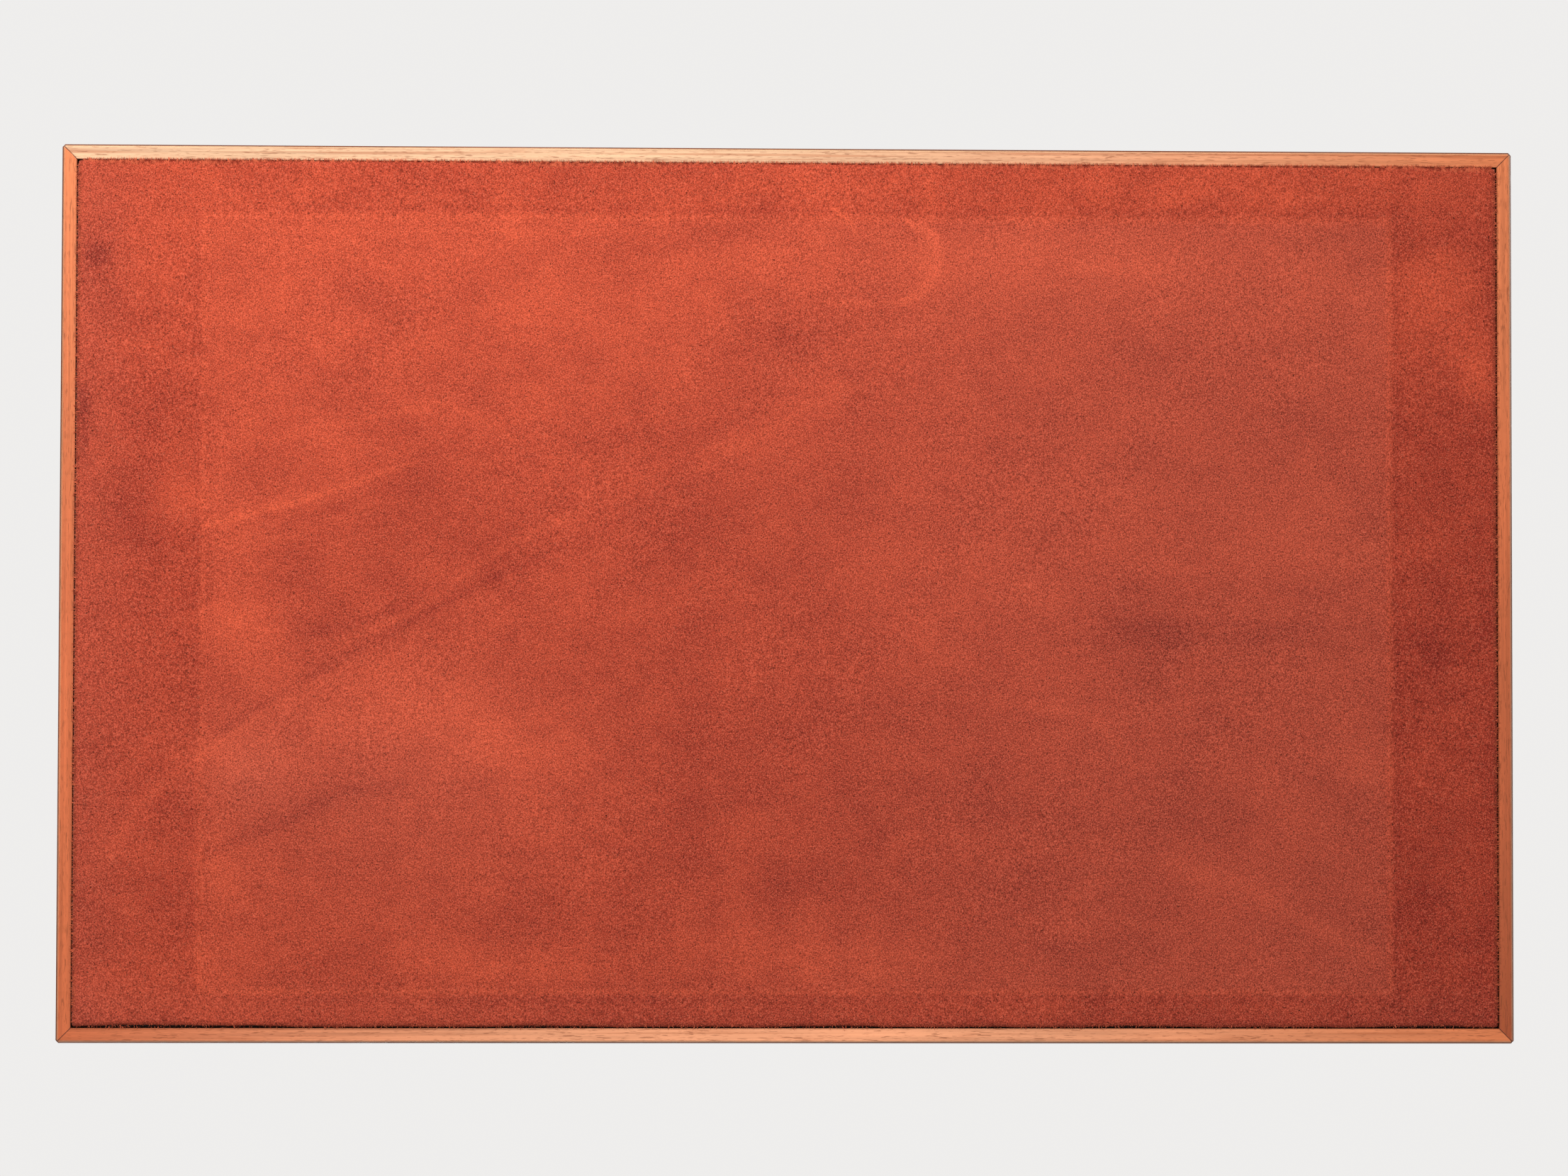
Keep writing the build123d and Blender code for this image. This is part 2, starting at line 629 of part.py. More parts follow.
with BuildPart() as lock_body:
    block((-LOCK_HALF, LOCK_HALF), LOCK_Y, (RIM - LOCK_DEEP, RIM - LEAF))
    block((-SELVEDGE_HALF, SELVEDGE_HALF), LOCK_Y, (RIM - LEAF, RIM))
    inside = LOCK_HALF - 1.5
    inside_y = (LOCK_Y[0] + LOCK_SKIN, LOCK_Y[1])
    block((-inside, inside), inside_y, (BOLT_LOW - 0.15, RIM - LEAF), Mode.SUBTRACT)
    block((-7, 7), inside_y, (RIM - LOCK_DEEP + 1.5, RIM - LEAF), Mode.SUBTRACT)
    rod(NOSE_R, (0, LOCK_Y[0], PLUG_Z), (0, FRONT + ESCUTCHEON, PLUG_Z), BARREL_SIDES)
    plug_bore = around(PLUG_R + PIN_PLAY, BARREL_SIDES)
    rod(plug_bore, (0, FRONT, PLUG_Z), (0, LOCK_Y[0] + 2, PLUG_Z), BARREL_SIDES, Mode.SUBTRACT)
    for x in TONGUE_XS:
        slot_x = (x - TONGUE / 2 - 0.3, x + TONGUE / 2 + 0.3)
        slot_y = (TONGUE_Y[0] - 0.7, TONGUE_Y[1] + 0.3)
        block(slot_x, slot_y, (RIM - LEAF, RIM), Mode.SUBTRACT)
    for side in (-1, 1):
        screw_seat(side * LOCK_SCREW_X, LOCK_SCREW_Y, RIM, -1)

with BuildPart() as lock_escutcheon:
    with BuildSketch(facing_front(0, FRONT + ESCUTCHEON, PLUG_Z)) as rosette:
        RegularPolygon(ESCUTCHEON_R, RIM_SIDES)
        RegularPolygon(around(PLUG_R + 0.3, BARREL_SIDES), BARREL_SIDES, mode=Mode.SUBTRACT)
    extrude(rosette.sketch, amount=ESCUTCHEON)
    chamfer(lock_escutcheon.faces().sort_by(Axis.Y)[0].outer_wire().edges(), 0.4)

with BuildPart() as lock_plug:
    collar_y = LOCK_Y[0] + LOCK_SKIN + 0.2
    rod(PLUG_R, (0, FRONT + 0.2, PLUG_Z), (0, collar_y, PLUG_Z))
    rod(PLUG_R + 0.8, (0, collar_y, PLUG_Z), (0, PLUG_END, PLUG_Z), BARREL_SIDES)
    block((-0.7, 0.7), (FRONT, FRONT + 3.5), (PLUG_Z - 3, PLUG_Z + 1), Mode.SUBTRACT)
    keyhole = [(0, y, PLUG_Z + 1.2) for y in (FRONT, FRONT + 3.5)]
    rod(1.3, *keyhole, PIN_SIDES, Mode.SUBTRACT)
    crank = CRANK_R * math.sin(math.radians(45))
    crank_pin = [(-crank, y, PLUG_Z + crank) for y in (PLUG_END, BOLT_Y[1])]
    rod(1.0, *crank_pin, PIN_SIDES)

with BuildPart() as lock_bolt:
    block((-19.5, 8), BOLT_Y, (BOLT_LOW, BOLT_BAR_TOP))
    for x in TONGUE_XS:
        root = x - TONGUE / 2 - BOLT_TRAVEL - 0.3
        block((root - 2.2, root), BOLT_Y, (BOLT_BAR_TOP, RIM - LEAF - 0.15))
        block((root, root + BOLT_TRAVEL - 0.1), BOLT_Y, FINGER_Z)
    notch = (-crank - 1.3, -crank + 1.3)
    block(notch, BOLT_Y, (BOLT_LOW, PLUG_Z + CRANK_R + 1.3), Mode.SUBTRACT)

with BuildPart() as lock_strike:
    block((-SELVEDGE_HALF, SELVEDGE_HALF), (LOCK_Y[0], FRONT + 13), (LID_LOW, LID_LOW + LEAF))
    for x in TONGUE_XS:
        block((x - TONGUE / 2, x + TONGUE / 2), TONGUE_Y, (TONGUE_LOW, LID_LOW))
    tongue_ends = lock_strike.edges().filter_by(Axis.X).group_by(Axis.Z)[0]
    chamfer(tongue_ends, 1.0)
    for x in TONGUE_XS:
        eye_y = (BOLT_Y[0] - 0.3, BOLT_Y[1] + 0.3)
        eye_z = (FINGER_Z[0] - 0.6, FINGER_Z[1] + 0.6)
        block((x - TONGUE, x + TONGUE), eye_y, eye_z, Mode.SUBTRACT)
    for side in (-1, 1):
        screw_seat(side * LOCK_SCREW_X, LOCK_SCREW_Y, LID_LOW, 1)


# Hygrometer

DIAL_SEAT = DIAL_DEPTH + DIAL_T
CASE_WALL = 0.8
DIAL_R = HYGRO_R - CASE_WALL
ARBOR_BORE = around(ARBOR_R + PIN_PLAY, PIN_SIDES)

with BuildPart() as hygrometer_case:
    hygrometer_disc(HYGRO_R, 0, HYGRO_DEEP)
    hygrometer_disc(DIAL_R, 0, DIAL_SEAT, mode=Mode.SUBTRACT)
    hygrometer_disc(ARBOR_BORE, DIAL_SEAT, DIAL_SEAT + 3, PIN_SIDES, Mode.SUBTRACT)

with BuildPart() as hygrometer_bezel:
    hygrometer_disc(BEZEL_R, -BEZEL_LOW, 0)
    chamfer(hygrometer_bezel.faces().sort_by(Axis.Z)[0].edges(), 1.2)
    hygrometer_disc(DIAL_R - 1.6, -BEZEL_LOW, 0, mode=Mode.SUBTRACT)
    chamfer(hygrometer_bezel.faces().sort_by(Axis.Z)[0].inner_wires()[0].edges(), 0.8)

with BuildPart() as hygrometer_glass:
    hygrometer_disc(DIAL_R, 0, GLASS_T)

with BuildPart() as hygrometer_dial:
    hygrometer_disc(DIAL_R, DIAL_DEPTH, DIAL_SEAT)
    hygrometer_disc(ARBOR_R + 0.4, DIAL_DEPTH, DIAL_SEAT, PIN_SIDES, Mode.SUBTRACT)

with BuildPart() as hygrometer_needle:
    needle_z = (CEILING + 2.4, CEILING + 3.0)
    with BuildSketch(Plane.XY.offset(needle_z[0])) as pointer:
        with BuildLine():
            Polyline(
                (HYGRO_X - 0.3, -NEEDLE_LONG),
                (HYGRO_X + 0.3, -NEEDLE_LONG),
                (HYGRO_X + 0.9, 0),
                (HYGRO_X + 1.6, 9),
                (HYGRO_X - 1.6, 9),
                (HYGRO_X - 0.9, 0),
                close=True,
            )
        make_face()
    extrude(pointer.sketch, amount=needle_z[1] - needle_z[0])
    hygrometer_disc(2.2, 1.7, 3.7, PIN_SIDES)
    hygrometer_disc(ARBOR_R, 3.7, DIAL_SEAT + 2.6, sides=None)


# Humidifier: a grilled shell over a foam core with two magnets, and its steel plate

humid_x = (HUMID_X - HUMID_SIZE[0] / 2, HUMID_X + HUMID_SIZE[0] / 2)
humid_y = (-HUMID_SIZE[1] / 2, HUMID_SIZE[1] / 2)
humid_low = HUMID_TOP - HUMID_SIZE[2]

with BuildPart() as humidifier_shell:
    with BuildSketch(Plane.XY.offset(humid_low)) as outline:
        with Locations((HUMID_X, 0)):
            RectangleRounded(HUMID_SIZE[0], HUMID_SIZE[1], 8)
    extrude(outline.sketch, amount=HUMID_SIZE[2])
    chamfer(humidifier_shell.faces().sort_by(Axis.Z)[0].edges(), 1.2)
    with BuildSketch(Plane.XY.offset(humid_low + HUMID_SHELL)) as inside_plan:
        with Locations((HUMID_X, 0)):
            RectangleRounded(HUMID_SIZE[0] - 2 * HUMID_SHELL, HUMID_SIZE[1] - 2 * HUMID_SHELL, 6.5)
    extrude(inside_plan.sketch, amount=HUMID_SIZE[2], mode=Mode.SUBTRACT)
    with BuildSketch(Plane.XY.offset(humid_low)) as grille:
        with Locations((HUMID_X, 0)):
            with GridLocations(0, HUMID_SIZE[1] * 0.84 / HUMID_SLOTS, 1, HUMID_SLOTS):
                Rectangle(HUMID_SIZE[0] * 0.76, 4)
    extrude(grille.sketch, amount=HUMID_SHELL, mode=Mode.SUBTRACT)

with BuildPart() as humidifier_core:
    with BuildSketch(Plane.XY.offset(humid_low + HUMID_SHELL)) as core_plan:
        with Locations((HUMID_X, 0)):
            RectangleRounded(HUMID_SIZE[0] - 2 * HUMID_SHELL, HUMID_SIZE[1] - 2 * HUMID_SHELL, 6.5)
    extrude(core_plan.sketch, amount=HUMID_SIZE[2] - HUMID_SHELL)
    for y in MAGNET_YS:
        pocket = (HUMID_X, y, HUMID_TOP - MAGNET_T)
        rod(MAGNET_R, pocket, (HUMID_X, y, HUMID_TOP), BARREL_SIDES, Mode.SUBTRACT)

with BuildPart() as humidifier_magnets:
    for y in MAGNET_YS:
        faces = [(HUMID_X, y, z) for z in (HUMID_TOP - MAGNET_T, HUMID_TOP)]
        rod(MAGNET_R, *faces, BARREL_SIDES)

with BuildPart() as humidifier_plate:
    with BuildSketch(Plane.XY.offset(CEILING - PLATE_T)) as plate_plan:
        with Locations((HUMID_X, 0)):
            RectangleRounded(30, 120, 5)
    extrude(plate_plan.sketch, amount=PLATE_T)


# Every piece is written under its own name

pieces = {
    "base_board": base_board,
    "base_suede": base_suede,
    "case_front": case_front,
    "case_back": case_back,
    "case_side_left": case_side_left,
    "case_side_right": case_side_right,
    "drawer_partition": drawer_partition,
    "drawer_runners": drawer_runners,
    "well_floor": well_floor,
    "lining_front": lining_front,
    "lining_back": lining_back,
    "lining_left": lining_left,
    "lining_right": lining_right,
    "tray_ledges": tray_ledges,
    "well_dividers": well_dividers,
    "tray_sides": tray_sides,
    "tray_ends": tray_ends,
    "tray_slats": tray_slats,
    "tray_divider": tray_divider,
    "lid_front": lid_front,
    "lid_back": lid_back,
    "lid_side_left": lid_side_left,
    "lid_side_right": lid_side_right,
    "lid_panel": lid_panel,
    "lid_ceiling": lid_ceiling,
    "lid_lining_long": lid_lining_long,
    "lid_lining_short": lid_lining_short,
    "hinge_case_leaves": hinge_case_leaves,
    "hinge_lid_leaves": hinge_lid_leaves,
    "hinge_pins": hinge_pins,
    "case_screws": case_screws,
    "lid_screws": lid_screws,
    "lock_body": lock_body,
    "lock_escutcheon": lock_escutcheon,
    "lock_plug": lock_plug,
    "lock_bolt": lock_bolt,
    "lock_strike": lock_strike,
    "hygrometer_case": hygrometer_case,
    "hygrometer_bezel": hygrometer_bezel,
    "hygrometer_glass": hygrometer_glass,
    "hygrometer_dial": hygrometer_dial,
    "hygrometer_needle": hygrometer_needle,
    "humidifier_shell": humidifier_shell,
    "humidifier_core": humidifier_core,
    "humidifier_magnets": humidifier_magnets,
    "humidifier_plate": humidifier_plate,
}
for name, side in (("left", -1), ("right", 1)):
    for part_name, piece in drawer(side).items():
        pieces[f"drawer_{name}_{part_name}"] = piece

os.makedirs("parts", exist_ok=True)
for name, piece in pieces.items():
    piece.part.label = name
    export_step(piece.part, f"parts/{name}.step")
print(len(pieces), "pieces written")
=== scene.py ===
import math
import bmesh
import bpy
import numpy as np
from mathutils import Euler, Matrix, Vector, noise


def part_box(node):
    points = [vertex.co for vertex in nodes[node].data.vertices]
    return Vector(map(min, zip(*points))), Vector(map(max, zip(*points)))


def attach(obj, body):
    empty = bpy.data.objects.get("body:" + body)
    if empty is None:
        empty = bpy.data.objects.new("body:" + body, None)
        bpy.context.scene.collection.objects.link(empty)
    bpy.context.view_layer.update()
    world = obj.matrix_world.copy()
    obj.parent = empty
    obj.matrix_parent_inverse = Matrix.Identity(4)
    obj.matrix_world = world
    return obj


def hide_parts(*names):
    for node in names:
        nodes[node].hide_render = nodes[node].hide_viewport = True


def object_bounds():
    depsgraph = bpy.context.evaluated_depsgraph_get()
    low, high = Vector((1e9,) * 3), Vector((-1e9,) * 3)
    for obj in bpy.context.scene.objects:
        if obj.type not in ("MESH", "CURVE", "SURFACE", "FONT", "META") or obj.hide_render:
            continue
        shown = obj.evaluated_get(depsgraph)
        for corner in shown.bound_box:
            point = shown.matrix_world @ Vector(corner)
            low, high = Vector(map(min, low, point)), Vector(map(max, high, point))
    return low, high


# Looks of the cigar humidor: pale mahogany rails round a rust suede base, cedar inside,
# satin brass fittings. Lengths are metres, but millimetres in finishes, in the marks of
# the nap, in the profiles of lathed pieces and where a name ends in mm.

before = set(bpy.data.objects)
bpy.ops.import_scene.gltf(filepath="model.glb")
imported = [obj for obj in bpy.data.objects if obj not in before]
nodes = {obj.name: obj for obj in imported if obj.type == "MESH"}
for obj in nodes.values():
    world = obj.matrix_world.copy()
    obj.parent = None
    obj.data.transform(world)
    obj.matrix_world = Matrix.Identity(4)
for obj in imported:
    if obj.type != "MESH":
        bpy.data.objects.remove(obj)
cad_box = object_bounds()
noise.seed_set(7)
bpy.ops.object.select_all(action="DESELECT")
bpy.context.scene.view_settings.view_transform = "Standard"

MM = 0.001
HALF_X, HALF_Y = cad_box[1].x, cad_box[1].y
HALF_X_MM, HALF_Y_MM = HALF_X / MM, HALF_Y / MM
CASE_RIM = 136 * MM
LID_LOW = 136.3 * MM
BACKDROP = (0.86, 0.85, 0.84, 1.0)
HYGRO_X = -62 * MM
DIAL_RING_MM = 26.6
DEGREES_PER_UNIT = 2.4
HALF_INK = 0.02 * MM


# Finishes


class Channel:
    """One output of a finish's nodes. Sums with it add the nodes that work them out."""

    def __init__(self, finish, socket):
        self.finish, self.socket = finish, socket

    def maths(self, operation, *others, clamp=False):
        values = dict(enumerate((self, *others)))
        return self.finish.node("Math", values, operation=operation, use_clamp=clamp)

    def __add__(self, other):
        return self.maths("ADD", other)

    def __sub__(self, other):
        return self.maths("SUBTRACT", other)

    def __mul__(self, other):
        return self.maths("MULTIPLY", other)

    def __neg__(self):
        return self.maths("MULTIPLY", -1.0)

    def __abs__(self):
        return self.maths("ABSOLUTE")

    __radd__, __rmul__ = __add__, __mul__

    def __rsub__(self, other):
        return self.finish.node("Math", {0: other, 1: self}, operation="SUBTRACT")

    def least(self, other):
        return self.maths("MINIMUM", other)

    def most(self, other):
        return self.maths("MAXIMUM", other)

    def clamp(self):
        return self.maths("ADD", 0.0, clamp=True)

    def above(self, low, high):
        """0 below low, 1 above high, and a soft ramp between."""
        spans = {"Value": self, "From Min": low, "From Max": high}
        return self.finish.node("MapRange", spans, interpolation_type="SMOOTHSTEP")

    def below(self, low, high):
        return 1.0 - self.above(low, high)


class Finish:
    """A procedural finish. Its Principled shader takes constants and channels."""

    def __init__(self, name, **constants):
        self.material = bpy.data.materials.new(name)
        self.material.use_nodes = True
        self.tree = self.material.node_tree
        self.shader = self.tree.nodes["Principled BSDF"]
        for socket, value in constants.items():
            self.set(socket.replace("_", " "), value)

    def feed(self, socket, value):
        if isinstance(value, Channel):
            self.tree.links.new(value.socket, socket)
        elif isinstance(value, tuple) and len(value) == 3 and len(socket.default_value) == 4:
            socket.default_value = (*value, 1.0)
        else:
            socket.default_value = value

    def set(self, name, value):
        self.feed(self.shader.inputs[name], value)

    def node(self, kind, values=None, output=0, stops=None, **settings):
        """Any node: its settings first, then the values or channels of its sockets."""
        made = self.tree.nodes.new("ShaderNode" + kind)
        for setting, value in settings.items():
            setattr(made, setting, value)
        if stops:
            ramp = made.color_ramp
            while len(ramp.elements) < len(stops):
                ramp.elements.new(1.0)
            for element, (place, colour) in zip(ramp.elements, stops):
                element.position, element.color = place, (*colour, 1.0)
        for socket, value in (values or {}).items():
            self.feed(made.inputs[socket], value)
        return Channel(self, made.outputs[output])

    def place(self, stretch=(1, 1, 1), turn=(0, 0, 0), shift=(0, 0, 0)):
        """The point on the object in millimetres, stretched and turned."""
        point = self.node("TexCoord", output="Object")
        scale = tuple(1000.0 * s for s in stretch)
        values = {"Vector": point, "Rotation": turn, "Scale": scale, "Location": shift}
        return self.node("Mapping", values)

    def axes(self):
        """X, Y and Z of the point in millimetres."""
        point = self.place()
        return [self.node("SeparateXYZ", {0: point}, output=n) for n in range(3)]

    def grain(self, point, scale=1.0, detail=3.0, rough=0.55, bend=0.0, output=0):
        values = {"Vector": point, "Scale": scale, "Detail": detail, "Roughness": rough,
                  "Distortion": bend}
        return self.node("TexNoise", values, output=output)

    def mix(self, amount, first, second, blend="MIX"):
        """A colour between two; inputs 6 and 7 are the colour sockets of the Mix node."""
        values = {0: amount, 6: first, 7: second}
        return self.node("Mix", values, output=2, data_type="RGBA", blend_type=blend)

    def shade(self, colour, amount):
        """A colour made lighter or darker by a channel round 1."""
        grey = self.node("CombineXYZ", {0: amount, 1: amount, 2: amount})
        return self.mix(1.0, colour, grey, blend="MULTIPLY")

    def relief(self, height, depth, strength=1.0):
        """Bump of a height between 0 and 1 over a depth in metres."""
        values = {"Height": height, "Distance": depth, "Strength": strength}
        self.set("Normal", self.node("Bump", values))

    def on(self, *pieces):
        for piece in pieces:
            piece.data.materials.clear()
            piece.data.materials.append(self.material)


def srgb(red, green, blue):
    """A colour read from a swatch, as the shader wants it."""
    def linear(value):
        value /= 255.0
        return value / 12.92 if value <= 0.04045 else ((value + 0.055) / 1.055) ** 2.4
    return (linear(red), linear(green), linear(blue))


# Camera, floor and light


def photographers_camera():
    """Looks up at the base, as the box stood on its long side in front of the lens."""
    turn = Euler((math.radians(1.961), math.radians(1.633), math.radians(-0.134)), "XYZ")
    pose = turn.to_matrix() @ Matrix.Rotation(math.pi, 3, "X")
    lens = bpy.data.cameras.new("camera")
    lens.lens, lens.sensor_width = 99.99, 36.0
    lens.clip_start, lens.clip_end = 0.01, 100.0
    camera = bpy.data.objects.new("camera", lens)
    camera.matrix_world = Matrix.Translation((-0.0372, 0.0413, -1.2556)) @ pose.to_4x4()
    bpy.context.scene.collection.objects.link(camera)
    bpy.context.scene.camera = camera


def studio_floor():
    """A pale floor under the box. From below it is clear, and lets the low lamp through."""
    bpy.ops.mesh.primitive_plane_add(size=60, location=(0, 0, -0.0006))
    floor = bpy.context.object
    floor.name = "floor"
    finish = Finish("floor_paint", Base_Color=(0.74, 0.73, 0.715), Roughness=0.9)
    finish.shader.inputs["Specular IOR Level"].default_value = 0.1
    x, y, _ = finish.axes()
    margin = 2.0
    past_box = (abs(x) - HALF_X_MM - margin).most(abs(y) - HALF_Y_MM - margin)
    under_box = past_box.below(-0.5, 0.5)
    ray = {name: finish.node("LightPath", output=f"Is {name} Ray")
           for name in ("Camera", "Shadow", "Glossy", "Transmission")}
    seen = ray["Camera"].most(ray["Glossy"]).most(ray["Transmission"])
    from_below = finish.node("NewGeometry", output="Backfacing")
    clear = (seen * from_below).most(ray["Shadow"]).most(under_box * (1.0 - ray["Camera"]))
    far = (x * x + y * y).maths("SQRT").above(700.0, 2200.0)
    horizon = finish.node("Emission", {"Color": BACKDROP, "Strength": 1.0})
    nearby = Channel(finish, finish.shader.outputs[0])
    surface = finish.node("MixShader", {0: far * seen, 1: nearby, 2: horizon})
    glassy = finish.node("BsdfTransparent")
    out = finish.tree.nodes["Material Output"].inputs["Surface"]
    finish.feed(out, finish.node("MixShader", {0: clear, 1: surface, 2: glassy}))
    finish.on(floor)


def lamp(name, place, aim, size, power):
    """A round soft lamp of warm white, out of the camera's sight."""
    light = bpy.data.lights.new(name, "AREA")
    light.shape, light.size, light.energy, light.color = "DISK", size, power, (1.0, 0.97, 0.93)
    holder = bpy.data.objects.new(name, light)
    holder.location = place
    holder.rotation_euler = (Vector(aim) - Vector(place)).to_track_quat("-Z", "Y").to_euler()
    holder.visible_camera = False
    bpy.context.scene.collection.objects.link(holder)


def studio_light():
    """Soft lamps above, one below for the base, and a pale room."""
    world = bpy.data.worlds.new("room")
    world.use_nodes = True
    bpy.context.scene.world = world
    tree = world.node_tree
    tree.nodes.clear()
    kinds = ("Background", "Background", "LightPath")
    seen, dim, path = (tree.nodes.new("ShaderNode" + kind) for kind in kinds)
    seen.inputs[0].default_value = BACKDROP
    dim.inputs[0].default_value = (1.0, 0.98, 0.96, 1.0)
    dim.inputs[1].default_value = 0.34
    either = tree.nodes.new("ShaderNodeMath")
    either.operation, either.use_clamp = "ADD", True
    tree.links.new(path.outputs["Is Camera Ray"], either.inputs[0])
    tree.links.new(path.outputs["Is Transmission Ray"], either.inputs[1])
    mixed = tree.nodes.new("ShaderNodeMixShader")
    tree.links.new(either.outputs[0], mixed.inputs[0])
    tree.links.new(dim.outputs[0], mixed.inputs[1])
    tree.links.new(seen.outputs[0], mixed.inputs[2])
    out = tree.nodes.new("ShaderNodeOutputWorld")
    tree.links.new(mixed.outputs[0], out.inputs[0])
    lamp("below", (-0.20, -0.37, -0.62), (0, 0, 0), 0.30, 4.6)
    lamp("key", (-1.1, -1.5, 1.6), (0, 0, 0.1), 1.2, 34.0)
    lamp("fill_right", (1.7, -0.5, 1.1), (0, 0, 0.1), 1.2, 20.0)
    lamp("fill_back", (-0.5, 1.8, 1.2), (0, 0, 0.1), 1.2, 22.0)


# Woods


def board_wood(finish, along, pores=1.0, ribbon=1.0, seed=0.0):
    """Channels of a board's grain: streaks, short open pores and a broad figure."""
    def run(length, width):
        stretch = {"X": (length, width, width), "Y": (width, length, width)}[along]
        return finish.place(stretch, shift=(seed, seed * 1.7, seed * 0.6))
    figure = finish.grain(run(0.006, 0.06), detail=5.0, rough=0.6, bend=0.6)
    bands = finish.grain(run(0.004, 0.34), detail=3.0, rough=0.6, bend=0.3)
    streaks = finish.grain(run(0.02, 0.9), detail=4.0, rough=0.6)
    fibre = finish.grain(run(0.12, 5.0), detail=2.0)
    open_pores = finish.grain(run(0.32, 3.2), detail=1.0, rough=0.5).above(0.60, 0.70) * pores
    tone = 1.0 + (figure - 0.5) * (0.5 * ribbon) + (bands - 0.5) * 0.34
    tone = tone + (streaks - 0.5) * 0.35 + (fibre - 0.5) * 0.16
    return tone, open_pores, fibre


def mahogany(name, along, seed=0.0, sawn=None):
    """Satin lacquered mahogany. With sawn, tints along the board, its bottom edge stays bare."""
    finish = Finish(name, Specular_IOR_Level=0.45, Coat_Roughness=0.22)
    tone, pores, fibre = board_wood(finish, along, seed=seed)
    figured = finish.mix((tone - 0.72) * 1.8, srgb(88, 40, 24), srgb(150, 82, 48))
    colour = finish.mix(pores * 0.7, figured, srgb(46, 18, 8))
    rough, lacquer = 0.36 + fibre * 0.12, 0.35
    if sawn:
        edge, bare = sawn_edge(finish, along, seed, sawn, tone, pores)
        colour = finish.mix(edge, colour, bare)
        rough, lacquer = rough + edge * 0.3, lacquer - edge * 0.35
    finish.set("Coat Weight", lacquer)
    finish.set("Base Color", colour)
    finish.set("Roughness", rough)
    finish.relief(fibre * 0.4 - pores * 0.6, 0.00010, 0.45)
    return finish


def sawn_edge(finish, along, seed, tints, tone, pores):
    """Where the board's bare bottom edge shows, and its colour: darker at mitres, with painted
    shade beside the suede and a painted highlight, partly also wear, along the outer arris.
    """
    x, y, z = finish.axes()
    run, half = (x, HALF_X_MM) if along == "X" else (y, HALF_Y_MM)
    stops = [(place / (len(tints) - 1), srgb(*tint)) for place, tint in enumerate(tints)]
    bare = finish.node("ValToRGB", {0: run * (0.5 / half) + 0.5}, stops=stops)

    def streaks(length, width, shift, detail, bend=0.0):
        stretch = {"X": (length, width, 1), "Y": (width, length, 1)}[along]
        return finish.grain(finish.place(stretch, shift=shift), detail=detail, bend=bend)
    lines = streaks(0.012, 1.3, (seed, 2, 6), detail=3.0, bend=0.3)
    dashes = streaks(0.22, 2.4, (seed, 9, 4), detail=2.0).above(0.61, 0.66)
    soiled = finish.grain(finish.place((0.05, 0.3, 0.3)), detail=3.0).above(0.55, 0.72)
    bare = finish.shade(bare, 1.0 + (tone - 1.0) * 1.3 + (lines - 0.5) * 0.9)
    bare = finish.mix(lines.below(0.34, 0.44) * 0.35, bare, srgb(206, 104, 52))
    bare = finish.mix(soiled * 0.25, bare, srgb(186, 96, 52))
    bare = finish.mix(dashes.most(pores * 0.6) * 0.55, bare, srgb(142, 70, 34))

    in_x, in_y = HALF_X_MM - abs(x), HALF_Y_MM - abs(y)
    from_outside = in_x.least(in_y)
    # strength of the dark mitre lines, of the painted arris highlight and of the painted shade by
    # the suede
    wear_and_painted_light = 0.4 + finish.grain(finish.place((0.25, 0.25, 0.25))) * 1.1
    near_corner = in_x.most(in_y).below(5.0, 6.0)
    mitre = abs(in_x - in_y + (wear_and_painted_light - 0.9) * 0.15).below(0.06, 0.26)
    bare = finish.mix((mitre * wear_and_painted_light).clamp() * near_corner, bare, srgb(84, 38, 22))
    # painted highlight, partly also edge wear: the outer arris made paler
    arris_wear_and_highlight = from_outside.below(0.55, 0.95)
    bare = finish.mix(arris_wear_and_highlight * wear_and_painted_light * 0.32, bare, srgb(255, 214, 166))
    # painted shade: the rail darker along its inner edge, where the suede meets it
    shade_by_suede = from_outside.above(3.75, 4.25)
    bare = finish.mix(shade_by_suede * wear_and_painted_light * 0.35, bare, srgb(120, 58, 36))
    return z.below(0.75, 1.2), bare


def bare_wood(name, along, tint, pore_tint, seed=0.0):
    """A planed board without lacquer: the cedar of the well, or the birch of the drawers."""
    finish = Finish(name, Specular_IOR_Level=0.25)
    tone, pores, fibre = board_wood(finish, along, pores=0.8, ribbon=0.8, seed=seed)
    blotches = finish.grain(finish.place((0.03, 0.03, 0.03), shift=(seed, 0, 0)), detail=4.0)
    stains = blotches.above(0.58, 0.78)
    colour = finish.mix(pores * 0.5, finish.shade(srgb(*tint), tone), srgb(*pore_tint))
    finish.set("Base Color", finish.mix(stains * 0.22, colour, srgb(*pore_tint)))
    finish.set("Roughness", 0.60 + fibre * 0.16)
    finish.relief(fibre * 0.5 - pores, 0.00012, 0.6)
    return finish


def cedar(name, along, seed=0.0):
    return bare_wood(name, along, (206, 148, 108), (128, 72, 46), seed)


def birch(name, along, seed=0.0):
    return bare_wood(name, along, (224, 200, 160), (176, 140, 98), seed)


# Metal, dial, glass, plastic and foam


